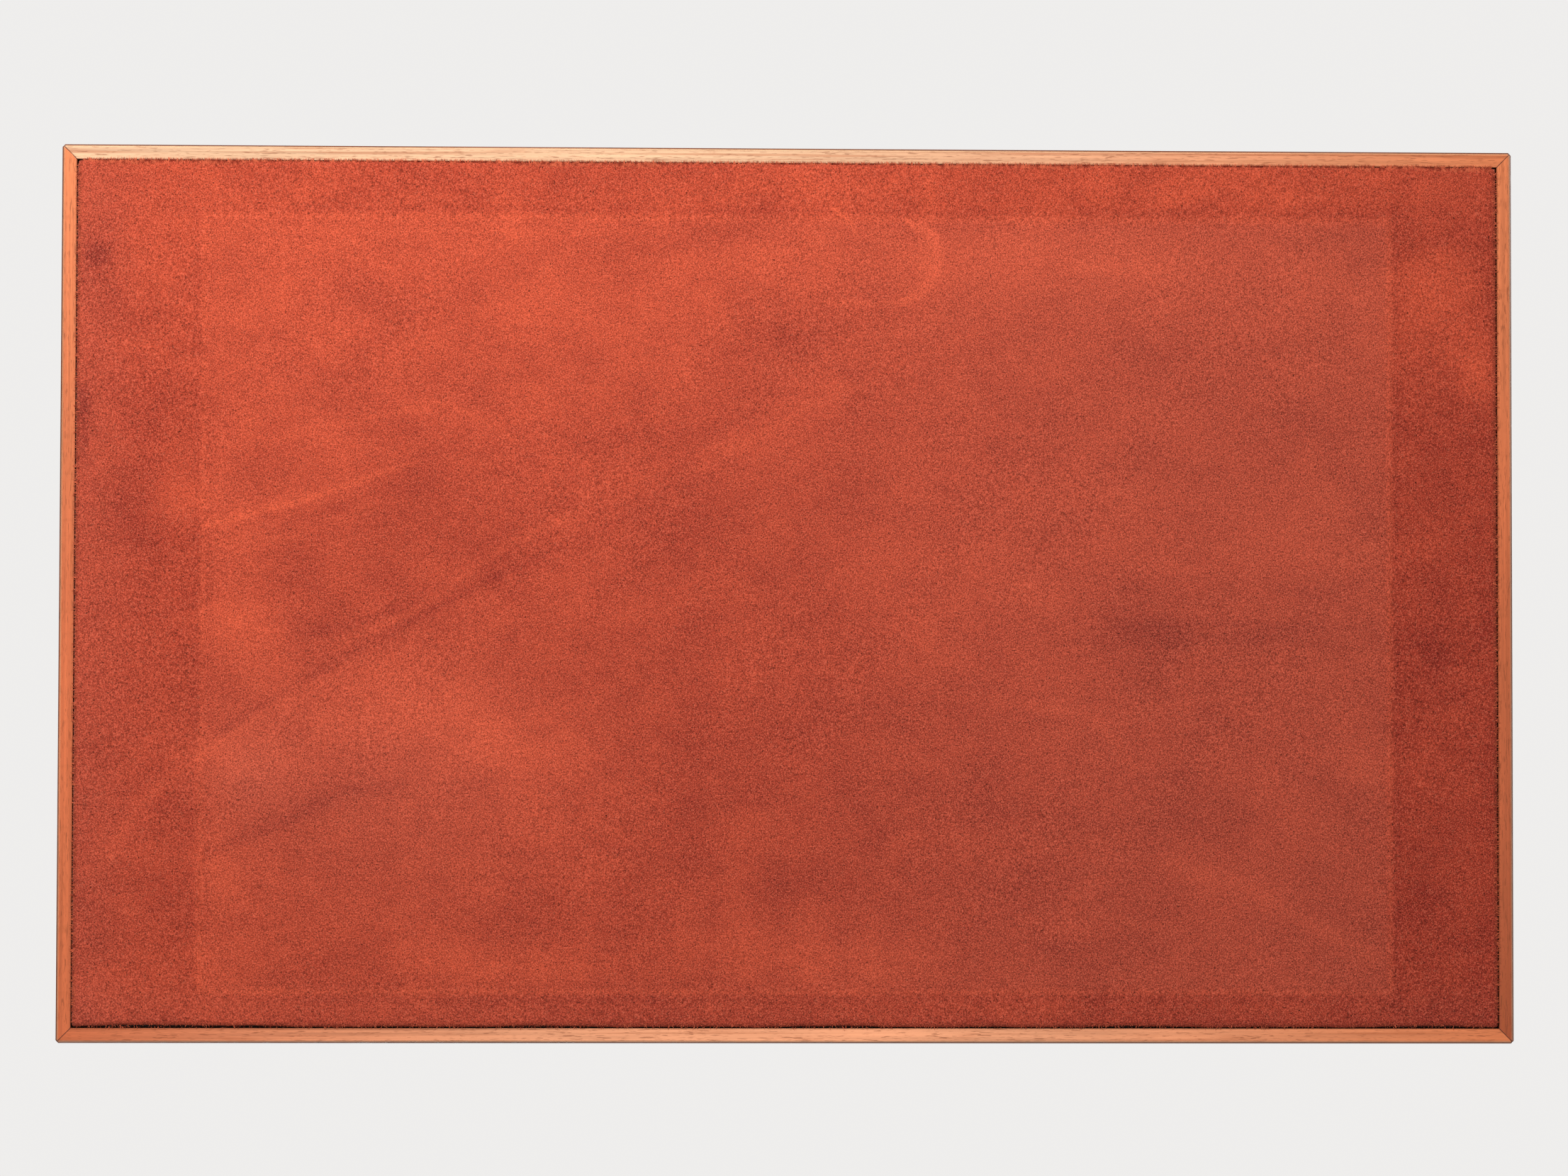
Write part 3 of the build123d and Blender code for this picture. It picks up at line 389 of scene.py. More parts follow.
def satin_metal(name, bright, dull, brushed="X", rough=0.24):
    """Metal brushed along one axis, with a dull bloom where hands seldom rub it."""
    finish = Finish(name, Metallic=1.0)
    stretch = {"X": (0.10, 7, 7), "Y": (7, 0.10, 7), "Z": (7, 7, 0.10)}[brushed]
    strokes = finish.grain(finish.place(stretch), detail=4.0, rough=0.7)
    bloom = finish.grain(finish.place((0.15, 0.15, 0.15)), detail=4.0, bend=0.5).above(0.48, 0.74)
    specks = finish.grain(finish.place((1.1, 1.1, 1.1), shift=(4, 4, 4)), detail=2.0)
    specks = specks.above(0.70, 0.76)
    colour = finish.mix((bloom * 0.55 + specks * 0.5).clamp(), srgb(*bright), srgb(*dull))
    finish.set("Base Color", finish.shade(colour, 0.88 + strokes * 0.24))
    finish.set("Roughness", rough + strokes * 0.16 + bloom * 0.14)
    finish.relief(strokes, 0.00004, 0.45)
    return finish


def brass(name, brushed="X"):
    return satin_metal(name, (226, 188, 118), (158, 116, 66), brushed)


def dial_paper():
    """Cream dial with two printed rings and a pale green arc where a humidor should stand."""
    finish = Finish("dial_paper", Roughness=0.72, Specular_IOR_Level=0.3)
    x, y, _ = finish.axes()
    x = x - HYGRO_X / MM
    radius = (x * x + y * y).maths("SQRT")
    mottle = finish.grain(finish.place((0.4, 0.4, 0.4)), detail=4.0)
    paper = finish.shade(srgb(240, 230, 206), 0.95 + mottle * 0.10)
    lean = x.maths("ARCTAN2", -y) * (180 / math.pi)
    good_arc = lean.above(35.5, 36.0) * lean.below(60.0, 60.5)
    band = abs(radius - 19.2).below(1.15, 1.25) * good_arc
    paper = finish.mix(band * 0.8, paper, srgb(112, 146, 96))
    outer_ring = abs(radius - DIAL_RING_MM).below(0.10, 0.16)
    inner_ring = abs(radius - 21.2).below(0.07, 0.12)
    printed = outer_ring.most(inner_ring) * 0.9
    finish.set("Base Color", finish.mix(printed, paper, srgb(38, 34, 30)))
    finish.relief(mottle, 0.00002, 0.3)
    return finish


def printing_ink(name):
    finish = Finish(name, Specular_IOR_Level=0.3)
    mottle = finish.grain(finish.place((0.9, 0.9, 0.9)), detail=3.0)
    finish.set("Base Color", finish.shade(srgb(30, 28, 27), 0.8 + mottle * 0.4))
    finish.set("Roughness", 0.48 + mottle * 0.2)
    return finish


def clear_glass():
    finish = Finish("clear_glass", Base_Color=(1.0, 1.0, 1.0), Transmission_Weight=1.0, IOR=1.45)
    smears = finish.grain(finish.place((0.08, 0.3, 0.3), turn=(0, 0, 0.6)), detail=3.0)
    finish.set("Roughness", smears.above(0.55, 0.8) * 0.05)
    return finish


def black_plastic():
    """Moulded plastic with a fine spark texture and a little cedar dust."""
    finish = Finish("black_plastic", Specular_IOR_Level=0.4)
    spark = finish.grain(finish.place((2.4, 2.4, 2.4)), detail=2.0)
    dust = finish.grain(finish.place((0.09, 0.09, 0.09)), detail=5.0).above(0.5, 0.75)
    finish.set("Base Color", finish.mix(dust * 0.25, srgb(30, 30, 31), srgb(120, 104, 90)))
    finish.set("Roughness", 0.40 + spark * 0.18 + dust * 0.15)
    finish.relief(spark, 0.00006, 0.5)
    return finish


def green_foam():
    """Open-celled foam that holds the water."""
    finish = Finish("green_foam", Roughness=0.95, Specular_IOR_Level=0.1)
    cells = finish.node("TexVoronoi", {"Vector": finish.place((1.1, 1.1, 1.1)), "Scale": 1.0})
    damp = finish.grain(finish.place((0.05, 0.05, 0.05)), detail=3.0)
    # painted shade: the cells' hollows, low in the relief, are darker
    colour = finish.mix(cells.above(0.15, 0.6), srgb(26, 58, 40), srgb(74, 118, 82))
    finish.set("Base Color", finish.shade(colour, 0.75 + damp * 0.5))
    finish.relief(cells, 0.0004, 0.8)
    return finish


# Work on a mesh in edit mode


def open_mesh():
    bpy.ops.object.mode_set(mode="EDIT")
    bpy.ops.mesh.select_all(action="SELECT")


def close_mesh(merge=None):
    """Turns every face outwards, after merging points that are nearer than merge."""
    bpy.ops.mesh.select_all(action="SELECT")
    if merge:
        bpy.ops.mesh.remove_doubles(threshold=merge)
    bpy.ops.mesh.normals_make_consistent(inside=False)
    bpy.ops.object.mode_set(mode="OBJECT")


def grid_points(mesh):
    """A row of x, y and z for each point of a new grid."""
    flat = np.zeros(len(mesh.vertices) * 3, np.float32)
    mesh.vertices.foreach_get("co", flat)
    return flat.reshape(-1, 3).astype(float)


def move_points(mesh, x, y, z):
    mesh.vertices.foreach_set("co", np.stack([x, y, z], 1).ravel())


# Suede of the base


def wrapped_suede():
    """The suede that covers the base board: one skin drawn over its edges."""
    edge_x, edge_y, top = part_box("base_suede")[1]
    bend, turn_up, step = 1.2 * MM, 5.2 * MM, 1.25 * MM
    arc = bend * math.pi / 2
    flat_x = edge_x - bend + arc + turn_up
    flat_y = edge_y - bend + arc + turn_up
    bpy.ops.mesh.primitive_grid_add(
        x_subdivisions=round(2 * flat_x / step), y_subdivisions=round(2 * flat_y / step),
        size=2, location=(0, 0, 0))
    skin = bpy.context.object
    skin.name = "suede_cover"
    flat = grid_points(skin.data)
    u, v = flat[:, 0] * flat_x, flat[:, 1] * flat_y

    def drawn_over(run, edge, slack):
        """Where a point of the flat hide lies across the board, and how far up its side."""
        out = np.abs(run) - (edge - bend)
        angle = np.clip(out / bend, 0.0, math.pi / 2)
        across = np.where(out < 0, np.abs(run), edge - bend + bend * np.sin(angle))
        up = bend * (1 - np.cos(angle)) + np.clip(out - arc, 0.0, None)
        across = across - slack * np.clip(out / bend + 1.0, 0.0, 1.0)
        return np.sign(run) * across, np.where(out < 0, 0.0, up)

    x, up_x = drawn_over(u, edge_x, 0.05 * MM)
    y, up_y = drawn_over(v, edge_y, np.where(v > 0, looseness(u / MM) * MM, 0.0))
    # the front edge is puffed out to the rail, and no shadow falls between them
    puffed = np.maximum(up_y - 0.7 * MM * np.exp(-(up_y / MM) ** 2), 0.0)
    up_y = np.where(v < 0, puffed, up_y)
    z = np.maximum(up_x, up_y)
    x, y = with_round_corners(x, y, edge_x, edge_y, 1.5 * MM)

    x_mm, y_mm = x / MM, y / MM
    lay, press, bloom = nap_marks(x_mm, y_mm)
    undulation = 0.10 * np.sin(x_mm * 0.05 + 1.3) * np.sin(y_mm * 0.06)
    undulation = undulation + 0.05 * np.sin(x_mm * 0.21 + y_mm * 0.17)
    nap = (0.22 + 0.5 * undulation + 0.16 * press) * MM
    inset = 0.00005
    z = np.clip(z + np.where(z < 0.3 * MM, nap, nap * 0.3), inset, top - inset)
    move_points(skin.data, x, y, z)
    for name, values in (("lay", lay), ("bloom", bloom)):
        layer = skin.data.attributes.new(name, "FLOAT", "POINT")
        layer.data.foreach_set("value", values.astype(np.float32))
    close_behind()
    suede_finish("rust_suede", marks=True).on(skin, nodes["base_suede"])
    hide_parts("base_suede")
    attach(skin, "case")


def looseness(x):
    """Slack of the hide along the back edge in mm: most near one end, and in waves."""
    loose = 0.26 + 0.60 * np.exp(-((x + 184) / 15) ** 2)
    loose = loose + 0.10 * np.sin(x * 0.5) * np.sin(x * 0.17)
    loose = loose + 0.24 * np.sin(x * 0.11) * np.sin(x * 0.037 + 1)
    return np.clip(loose, 0.02, 0.9)


def with_round_corners(x, y, edge_x, edge_y, corner):
    """Draws the points past each corner's arc back onto it."""
    over_x, over_y = np.abs(x) - (edge_x - corner), np.abs(y) - (edge_y - corner)
    reach = np.hypot(over_x, over_y)
    past = (over_x > 0) & (over_y > 0) & (reach > corner)
    return (np.where(past, np.sign(x) * (edge_x - corner + over_x / reach * corner), x),
            np.where(past, np.sign(y) * (edge_y - corner + over_y / reach * corner), y))


def edge_fuzz():
    """Loose fibres of the nap's cut edge, most of them over the front rail."""
    edge_x, edge_y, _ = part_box("base_suede")[1]
    sides = {"front": (9000, 1.1, (1, 0), (0, -1)), "back": (1500, 0.5, (1, 0), (0, 1)),
             "left": (1900, 0.8, (0, 1), (-1, 0)), "right": (1900, 0.75, (0, 1), (1, 0))}
    from_corner, over_rail, root_up_mm = 1.5 * MM, 0.9 * MM, 0.25
    chance = np.random.default_rng(4)
    fuzz = bmesh.new()
    for count, reach, along, outward in sides.values():
        half, edge = (edge_x, edge_y) if along[0] else (edge_y, edge_x)
        for _ in range(count):
            run = chance.uniform(from_corner - half, half - from_corner)
            root = edge - chance.uniform(0.2, 1.5) * MM
            tip = min(root + chance.gamma(4.0, reach / 4) * MM, edge + over_rail)
            drift = chance.normal(0, 0.45) * (tip - root)
            wide = chance.uniform(0.05, 0.12) * MM
            corners = ((run - wide, root, root_up_mm), (run + wide, root, root_up_mm),
                       (run + drift, tip, chance.uniform(0.1, 0.45)))
            points = [(a * along[0] + o * outward[0], a * along[1] + o * outward[1], up_mm * MM)
                      for a, o, up_mm in corners]
            fuzz.faces.new([fuzz.verts.new(Vector(point)) for point in points])
    mesh = bpy.data.meshes.new("suede_edge_fuzz")
    fuzz.to_mesh(mesh)
    fuzz.free()
    piece = bpy.data.objects.new("suede_edge_fuzz", mesh)
    bpy.context.scene.collection.objects.link(piece)
    finish = Finish("loose_fibres", Roughness=0.95, Specular_IOR_Level=0.1)
    shades = finish.grain(finish.place((0.8, 0.8, 0.8)), detail=2.0).above(0.35, 0.65)
    finish.set("Base Color", finish.mix(shades, srgb(140, 52, 36), srgb(222, 108, 76)))
    finish.on(piece)
    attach(piece, "case")


def close_behind():
    """The hide's edge turns in over the board, which lies in the pocket behind it."""
    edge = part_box("base_suede")[1]
    turned_in, pocket = 1.15 * MM, 1.25 * MM
    open_mesh()
    bpy.ops.mesh.remove_doubles(threshold=0.00004)
    bpy.ops.mesh.select_all(action="SELECT")
    bpy.ops.mesh.region_to_loop()
    bpy.ops.mesh.extrude_edges_move()
    narrow = (1 - turned_in / edge.x, 1 - turned_in / edge.y, 1)
    bpy.ops.transform.resize(value=narrow, center_override=(0, 0, 0))
    bpy.ops.mesh.extrude_edges_move(TRANSFORM_OT_translate={"value": (0, 0, pocket - edge.z)})
    bpy.ops.mesh.edge_face_add()
    close_mesh()
    bpy.ops.object.shade_smooth()


class Nap:
    """How the nap lies at points of the base, with painted light and shade added, in mm: above 0
    it looks pale, below 0 dark.
    """

    def __init__(self, x, y):
        self.x, self.y = x, y
        # painted light: the nap starts paler towards the front and left edges, darker towards the
        # back and right
        self.lay = -0.05 * x / 210 - 0.05 * y / 129

    def distance(self, path):
        best = np.full_like(self.x, 1e9)
        for (ax, ay), (bx, by) in zip(path, path[1:]):
            dx, dy = bx - ax, by - ay
            from_x, from_y = self.x - ax, self.y - ay
            t = np.clip((from_x * dx + from_y * dy) / (dx * dx + dy * dy), 0, 1)
            best = np.minimum(best, np.hypot(from_x - t * dx, from_y - t * dy))
        return best

    def rub(self, tone, width, *path):
        """A soft line rubbed along a path."""
        self.lay = self.lay + tone * np.exp(-(self.distance(path) / width) ** 2)

    def brush(self, tone, centre, size, lean=0.0):
        """A soft oval patch, turned by lean."""
        c, s = math.cos(lean), math.sin(lean)
        from_x, from_y = self.x - centre[0], self.y - centre[1]
        along, over = from_x * c + from_y * s, -from_x * s + from_y * c
        self.lay = self.lay + tone * np.exp(-(along / size[0]) ** 2 - (over / size[1]) ** 2)


def nap_marks(x, y):
    """Lay of the nap with painted light and shade, pressing and bloom, from marks named by what
    made them or by the light painted in them.
    """
    nap = Nap(x, y)
    press = pressed_rectangle(nap)
    for marks in (brushed_borders, handled_patches, pair_of_creases, scuffs_on_the_left,
                  hooked_scuff, rubs_on_the_right, damp_spots, small_mottling):
        marks(nap)
    return np.clip(nap.lay, -0.6, 0.6), press, worn_bloom(x, y, press)


def pressed_rectangle(nap):
    """Something heavy stood on the nap and pressed it; its border is drawn with a painted
    highlight and painted shade. Gives 0 outside and -1 inside.
    """
    x, y = nap.x, nap.y
    inside = np.minimum(np.minimum(x + 168.5, 174 - x), np.minimum(y + 108.8, 114.5 - y))
    outside = 1 / (1 + np.exp(inside / 1.2))
    # painted highlight on the pressed border, painted shade in the trough just inside it
    border_highlight, trough_shade = np.exp(-(inside / 0.8) ** 2), np.exp(-((inside + 2.2) / 1.0) ** 2)
    nap.lay = nap.lay + 0.11 * border_highlight - 0.05 * trough_shade
    sunk = np.select([x < -168, x > 174, y > 114], [0.04, 0.10, 0.03], 0.05)
    nap.lay = nap.lay - outside * sunk
    # painted highlight: a pale line just inside the mark's left and front sides
    nap.rub(0.06, 0.8, (-164.5, 108), (-164.5, -104.8), (-30, -104.8))
    return -1 / (1 + np.exp(-inside / 0.8))


def brushed_borders(nap):
    # painted light: a pale band along the front edge towards the right
    nap.brush(0.12, (140, -118), (90, 9))
    nap.brush(-0.12, (-188, -30), (12, 30))
    nap.brush(-0.14, (-199, -102), (8, 16))
    nap.brush(0.05, (-120, 119), (14, 5))
    nap.brush(0.07, (60, 119), (34, 5))
    nap.brush(0.30, (200, -66), (6, 10))
    nap.brush(0.17, (188, -84), (14, 22))
    nap.brush(0.16, (98, -95), (75, 11))
    nap.brush(0.12, (14, -119), (26, 7))


def handled_patches(nap):
    """Mottled where hands held it."""
    nap.brush(0.12, (-157, -16), (10, 9))
    nap.brush(-0.14, (-109, -30), (15, 9))
    nap.brush(0.17, (-102, 35), (34, 11), 0.3)
    nap.brush(0.07, (-86, 64), (50, 16))
    nap.brush(0.12, (-83, 106), (22, 7))
    nap.brush(0.15, (8, 104), (34, 8))
    nap.brush(-0.12, (106, 12), (26, 14))
    nap.brush(0.11, (147, -9), (18, 12))
    nap.brush(0.07, (36, -8), (24, 16))
    nap.brush(0.11, (194, 50), (11, 28))
    nap.brush(0.09, (-184, 116), (40, 12))


def pair_of_creases(nap):
    """A pair of creases from corner to corner, drawn as painted shade along them with a painted
    highlight beside.
    """
    # painted shade along the creases
    nap.rub(-0.13, 1.2, (-165, 41), (-138, 24.5), (-109, 8), (-84, -5))
    nap.rub(-0.08, 1.2, (-84, -5), (-68, -12), (-48, -22))
    nap.rub(-0.09, 1.6, (-144, 13), (-126, 9), (-109, 3))
    # painted highlight beside the creases
    nap.rub(0.10, 0.9, (-132, 16), (-109, 5.5), (-79, -15.5))
    nap.rub(0.07, 1.0, (-79, -15.5), (-60, -23.5), (-25, -36.5))
    nap.rub(0.05, 1.2, (-25, -36.5), (1, -52), (40, -70), (63, -80))
    nap.rub(0.04, 2.4, (-120, 5), (-60, -25), (0, -50))


def scuffs_on_the_left(nap):
    """Thin scuffs, and the patches round them where the nap was stroked both ways."""
    nap.rub(0.20, 0.7, (-167, -19.5), (-139, -27), (-119, -34), (-107, -38))
    nap.rub(0.08, 2.2, (-167, -20), (-139, -28))
    nap.rub(-0.08, 1.8, (-156, -15), (-128, -25))
    nap.rub(0.10, 1.0, (-146, -45), (-119, -51), (-99, -55), (-80, -45))
    nap.rub(0.09, 1.6, (-195, 75), (-187, 61), (-166, 45), (-144, 30))
    nap.rub(-0.12, 1.8, (-166, 75), (-146, 67), (-127, 57), (-111, 55))
    nap.rub(0.10, 0.9, (-170, 46), (-170, 112))
    nap.rub(0.07, 0.8, (-146, -101), (-146, -82))
    nap.brush(0.10, (-125, 32), (34, 14), -0.2)
    nap.brush(0.08, (-60, -100), (120, 22))
    nap.brush(-0.07, (-90, -14), (60, 16), -0.4)
    nap.brush(-0.06, (10, 60), (60, 30))
    nap.brush(0.20, (-157, 49), (11, 9), -0.5)
    nap.brush(0.10, (-163, 85), (6, 24))
    nap.brush(-0.08, (-140, 62), (16, 6), -0.4)
    nap.brush(0.08, (-145, -72), (13, 22))
    nap.brush(0.09, (-158, 4), (9, 14))
    nap.brush(0.07, (-128, 36), (13, 8), 0.3)
    nap.brush(0.07, (-76, 47), (15, 10))
    nap.brush(0.06, (-95, 106), (30, 6))
    nap.brush(-0.07, (-29, 38), (8, 42))
    nap.brush(0.06, (-68, -58), (20, 7), -0.2)


def hooked_scuff(nap):
    """The hooked scuff and the curl beside it, near the front edge."""
    nap.rub(0.28, 1.1, (34, -108), (42, -104), (43.5, -96), (38.5, -87.5), (33, -85))
    nap.rub(0.10, 3.0, (40, -104), (40, -92))
    nap.rub(0.20, 0.8, (12, -112), (17, -108.7), (19, -104.5))
    nap.rub(0.14, 0.7, (9, -85), (24, -84), (33, -85))
    nap.rub(0.07, 2.5, (40, -123), (40, -106))


def rubs_on_the_right(nap):
    nap.brush(-0.10, (128, 12), (44, 5))
    nap.rub(-0.08, 0.9, (88, 9), (130, 8), (170, 10))
    nap.rub(0.05, 0.8, (95, 16), (172, 17))
    nap.rub(0.06, 0.9, (110, 21), (172, 23))
    nap.rub(0.09, 2.6, (108, 76), (135, 86), (169, 104))
    nap.brush(0.07, (140, 90), (30, 9), 0.45)
    nap.rub(0.08, 1.8, (60, 30), (88, 35), (100, 50))
    nap.brush(-0.08, (112, 57), (11, 14))
    for stroke in range(7):
        start, end = (-30 + 9 * stroke, 88), (-32 + 9.4 * stroke, 110)
        nap.rub(0.05 * (-1) ** stroke, 2.2, start, end)


def damp_spots(nap):
    """Damp once crept in at the left edge."""
    nap.brush(-0.55, (-204, -54.6), (2.4, 3.6))
    nap.brush(-0.22, (-203, -44), (1.6, 7))
    nap.brush(-0.34, (-200, -97), (3.6, 3.2))


def small_mottling(nap):
    """Pale and dark patches by turns, strewn over the whole base."""
    for patch in range(46):
        spot = noise.random_unit_vector()
        turn = noise.noise(spot * 9)
        size = (9 + 9 * abs(spot.z), 5 + 5 * abs(turn))
        nap.brush(0.07 * (-1) ** patch, (spot.x * 185, spot.y * 112), size, turn * 2)


def worn_bloom(x, y, press):
    """Where the nap has greyed: inside the pressed mark, more to the right, and in spots."""
    bloom = -press * (0.06 + 0.30 / (1 + np.exp((30 - x) / 28)))
    bloom = bloom + 0.26 * np.exp(-((x + 118) / 48) ** 2 - ((y - 52) / 34) ** 2)
    back_border, left_edge = 1 + np.exp((114 - y) / 1.5), np.exp(-((x + 206) / 16) ** 2)
    bloom = bloom + 0.12 / back_border + 0.25 * left_edge
    bloom = bloom + 0.26 * np.exp(-((x + 155) / 12) ** 2 - ((y - 52) / 13) ** 2)
    return np.clip(bloom, 0.0, 0.6)


def suede_finish(name, marks=False):
    """Rust suede: short napped fibres with flecks, in patches that lie one way or another."""
    dark_lay, pale_lay = srgb(156, 51, 39), srgb(212, 88, 59)
    greyed, fibre_tip = srgb(186, 88, 70), srgb(224, 122, 96)
    finish = Finish(name, Specular_IOR_Level=0.15, Roughness=0.95, Sheen_Weight=0.35,
                    Sheen_Roughness=0.45, Sheen_Tint=(1.0, 0.55, 0.38, 1.0))

    def nap_grain(stretch, lie=0.0, shift=(0, 0, 0), **settings):
        return finish.grain(finish.place(stretch, turn=(0, 0, lie), shift=shift), **settings)
    worms = nap_grain((1.5, 1.1, 1.5), 0.5, detail=3.0, rough=0.6, bend=1.2)
    fibres = nap_grain((3.0, 2.4, 3.0), detail=1.0, rough=0.6)
    patches = nap_grain((0.16, 0.24, 0.16), -0.4, detail=4.0, bend=0.5)
    broad = nap_grain((0.035, 0.05, 0.035), -0.5, detail=3.0, bend=0.7)
    flecks = nap_grain((2.1, 2.1, 2.1), shift=(31, 7, 3), detail=1.0).above(0.61, 0.71)
    pits = nap_grain((1.4, 1.4, 1.4), shift=(5, 71, 9), detail=2.0).below(0.30, 0.38)
    curls = nap_grain((0.55, 0.40, 0.55), 0.9, shift=(3, 8, 1), detail=3.0, bend=1.6)
    lean = (curls - 0.5) * 0.14 + (patches - 0.5) * 0.30 + (broad - 0.5) * 0.48
    if marks:
        # the lay attribute carries painted light and shade as well as the lay of the nap
        lean = lean + finish.node("Attribute", attribute_name="lay", output="Fac") * 1.25
    lit = (lean * 1.5 + 0.5).clamp()
    ground = finish.mix(lit, dark_lay, pale_lay)
    if marks:
        bloom = finish.node("Attribute", attribute_name="bloom", output="Fac")
        ground = finish.mix(bloom, ground, greyed)
    tone = 1.0 + (worms - 0.5) * 0.90 + (fibres - 0.5) * 2.4 + lean * 0.25 - pits * 0.38
    tips = (flecks * 0.45).most(fibres.above(0.54, 0.74) * 0.5) * (1.0 - lit * 0.35)
    finish.set("Base Color", finish.mix(tips, finish.shade(ground, tone), fibre_tip))
    finish.relief(worms * 0.6 + fibres * 0.4, 0.0005, 0.8)
    return finish


# Metal pieces, each modelled once and copied


def first_circle(name, start, sides, fill):
    """Starts a lathed piece from its first (radius, height) pair, and leaves it open."""
    radius, height = start
    bpy.ops.mesh.primitive_circle_add(vertices=sides, radius=radius * MM, fill_type=fill,
                                      location=(0, 0, height * MM))
    piece = bpy.context.object
    piece.name = name
    open_mesh()
    return piece


def lathe(profile, extrude):
    """Draws the selected circle on through (radius, height) pairs in mm."""
    for (wide, low), (next_wide, next_low) in zip(profile, profile[1:]):
        extrude(TRANSFORM_OT_translate={"value": (0, 0, (next_low - low) * MM)})
        scale = next_wide / wide
        bpy.ops.transform.resize(value=(scale, scale, 1), center_override=(0, 0, next_low * MM))


def turned(name, profile, sides):
    """A lathed piece about its own Z, base and top closed."""
    piece = first_circle(name, profile[0], sides, "NGON")
    lathe(profile, bpy.ops.mesh.extrude_region_move)
    close_mesh()
    return piece


def ring(name, profile, sides):
    """A lathed ring about Z: its half section runs round and closes on itself."""
    piece = first_circle(name, profile[0], sides, "NOTHING")
    lathe(profile + profile[:1], bpy.ops.mesh.extrude_edges_move)
    close_mesh(merge=0.00001)
    return piece


def set_down(piece, place, turn=(0, 0, 0)):
    """Moves a finished piece to its place and leaves its origin at the object's."""
    move = Matrix.Translation(place) @ Euler(turn).to_matrix().to_4x4()
    piece.data.transform(move @ piece.matrix_basis)
    piece.matrix_basis = Matrix.Identity(4)
    bpy.ops.object.select_all(action="DESELECT")
    piece.select_set(True)
    bpy.context.view_layer.objects.active = piece
    bpy.ops.object.shade_smooth_by_angle(angle=math.radians(32))


def copied(piece, name):
    twin = piece.copy()
    twin.data = piece.data.copy()
    twin.name = name
    bpy.context.scene.collection.objects.link(twin)
    return twin


def joined(pieces, name):
    bpy.ops.object.select_all(action="DESELECT")
    for piece in pieces:
        piece.select_set(True)
    bpy.context.view_layer.objects.active = pieces[0]
    bpy.ops.object.join()
    pieces[0].name = name
    return pieces[0]


def fitted(piece, node, body, finish):
    """The piece stands for a CAD node, moves with its body and wears a finish."""
    finish.on(piece, nodes[node])
    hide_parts(node)
    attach(piece, body)


def slotted_screw():
    """A countersunk wood screw with a slotted head, standing head down at the origin."""
    head, shank, plain_end, pitch = 2.15, 0.95, 3.2, 0.6
    profile = [(head - 0.1, 0.02), (head, 0.08), (head, 0.2), (shank, 1.3), (shank, plain_end)]
    for thread in range(9):
        low = plain_end + thread * pitch
        profile += [(shank * (1 - thread / 30), low + pitch / 2),
                    (shank * (0.72 - thread / 40), low + pitch)]
    profile.append((0.12, 8.9))
    screw = turned("slotted_screw", profile, sides=32)
    bpy.ops.mesh.primitive_cube_add(size=1, scale=(5.5 * MM, 0.6 * MM, 1.1 * MM))
    blade = bpy.context.object
    cut = screw.modifiers.new("slot", "BOOLEAN")
    cut.object, cut.operation, cut.solver = blade, "DIFFERENCE", "EXACT"
    bpy.context.view_layer.objects.active = screw
    bpy.ops.object.modifier_apply(modifier=cut.name)
    bpy.data.objects.remove(blade)
    return screw


def screw_rows():
    """Six screws for the hinge leaves and two for the lock plate, on either side of the joint."""
    screw = slotted_screw()
    hinge_y, lock_y = HALF_Y_MM - 11.0, 9.2 - HALF_Y_MM
    places = [(hinge + shift, hinge_y) for hinge in (-130, 130) for shift in (-19, 0, 19)]
    places += [(-26, lock_y), (26, lock_y)]
    metal = brass("brass_screws")
    for body, height, flip in (("case", CASE_RIM, math.pi), ("lid", LID_LOW, 0.0)):
        row = []
        for x, y in places:
            twin = copied(screw, "screw")
            twist = 0.9 * noise.noise((x * 0.31, y * 0.17, height * 90)) * math.pi
            set_down(twin, (x * MM, y * MM, height), (flip, 0, twist))
            row.append(twin)
        fitted(joined(row, body + "_slotted_screws"), body + "_screws", body, metal)
    bpy.data.objects.remove(screw)


def flush_pulls():
    """The dished cup and the round wire bail of each drawer's pull."""
    body, rim, dish = 14.5, 17.0, 13.5
    outside = [(body, -9.0), (body, -2.0), (rim, -2.0), (rim, -0.5), (rim - 0.15, -0.15),
               (rim - 0.5, 0.0)]
    hollow = [(dish + 0.7, 0.0), (dish + 0.25, -0.12), (dish, -0.5), (dish, -6.6),
              (dish - 0.4, -7.5), (dish - 1.4, -8.0), (0.1, -8.0)]
    cup = turned("cup", outside + hollow, sides=96)
    bail = wire_bail()
    for name in ("left", "right"):
        low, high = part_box(f"drawer_{name}_front")
        centre = Vector(((low.x + high.x) / 2, low.y, (low.z + high.z) / 2))
        own_cup, own_bail = copied(cup, name + "_cup"), copied(bail, name + "_bail")
        set_down(own_cup, centre, (math.pi / 2, 0, 0))
        set_down(own_bail, centre)
        cup_brass, bail_brass = brass(name + "_cup_brass"), brass(name + "_bail_brass", "Z")
        fitted(own_cup, f"drawer_{name}_pull_cup", f"drawer_{name}", cup_brass)
        fitted(own_bail, f"drawer_{name}_pull_bail", f"pull_{name}", bail_brass)
    bpy.data.objects.remove(cup)
    bpy.data.objects.remove(bail)


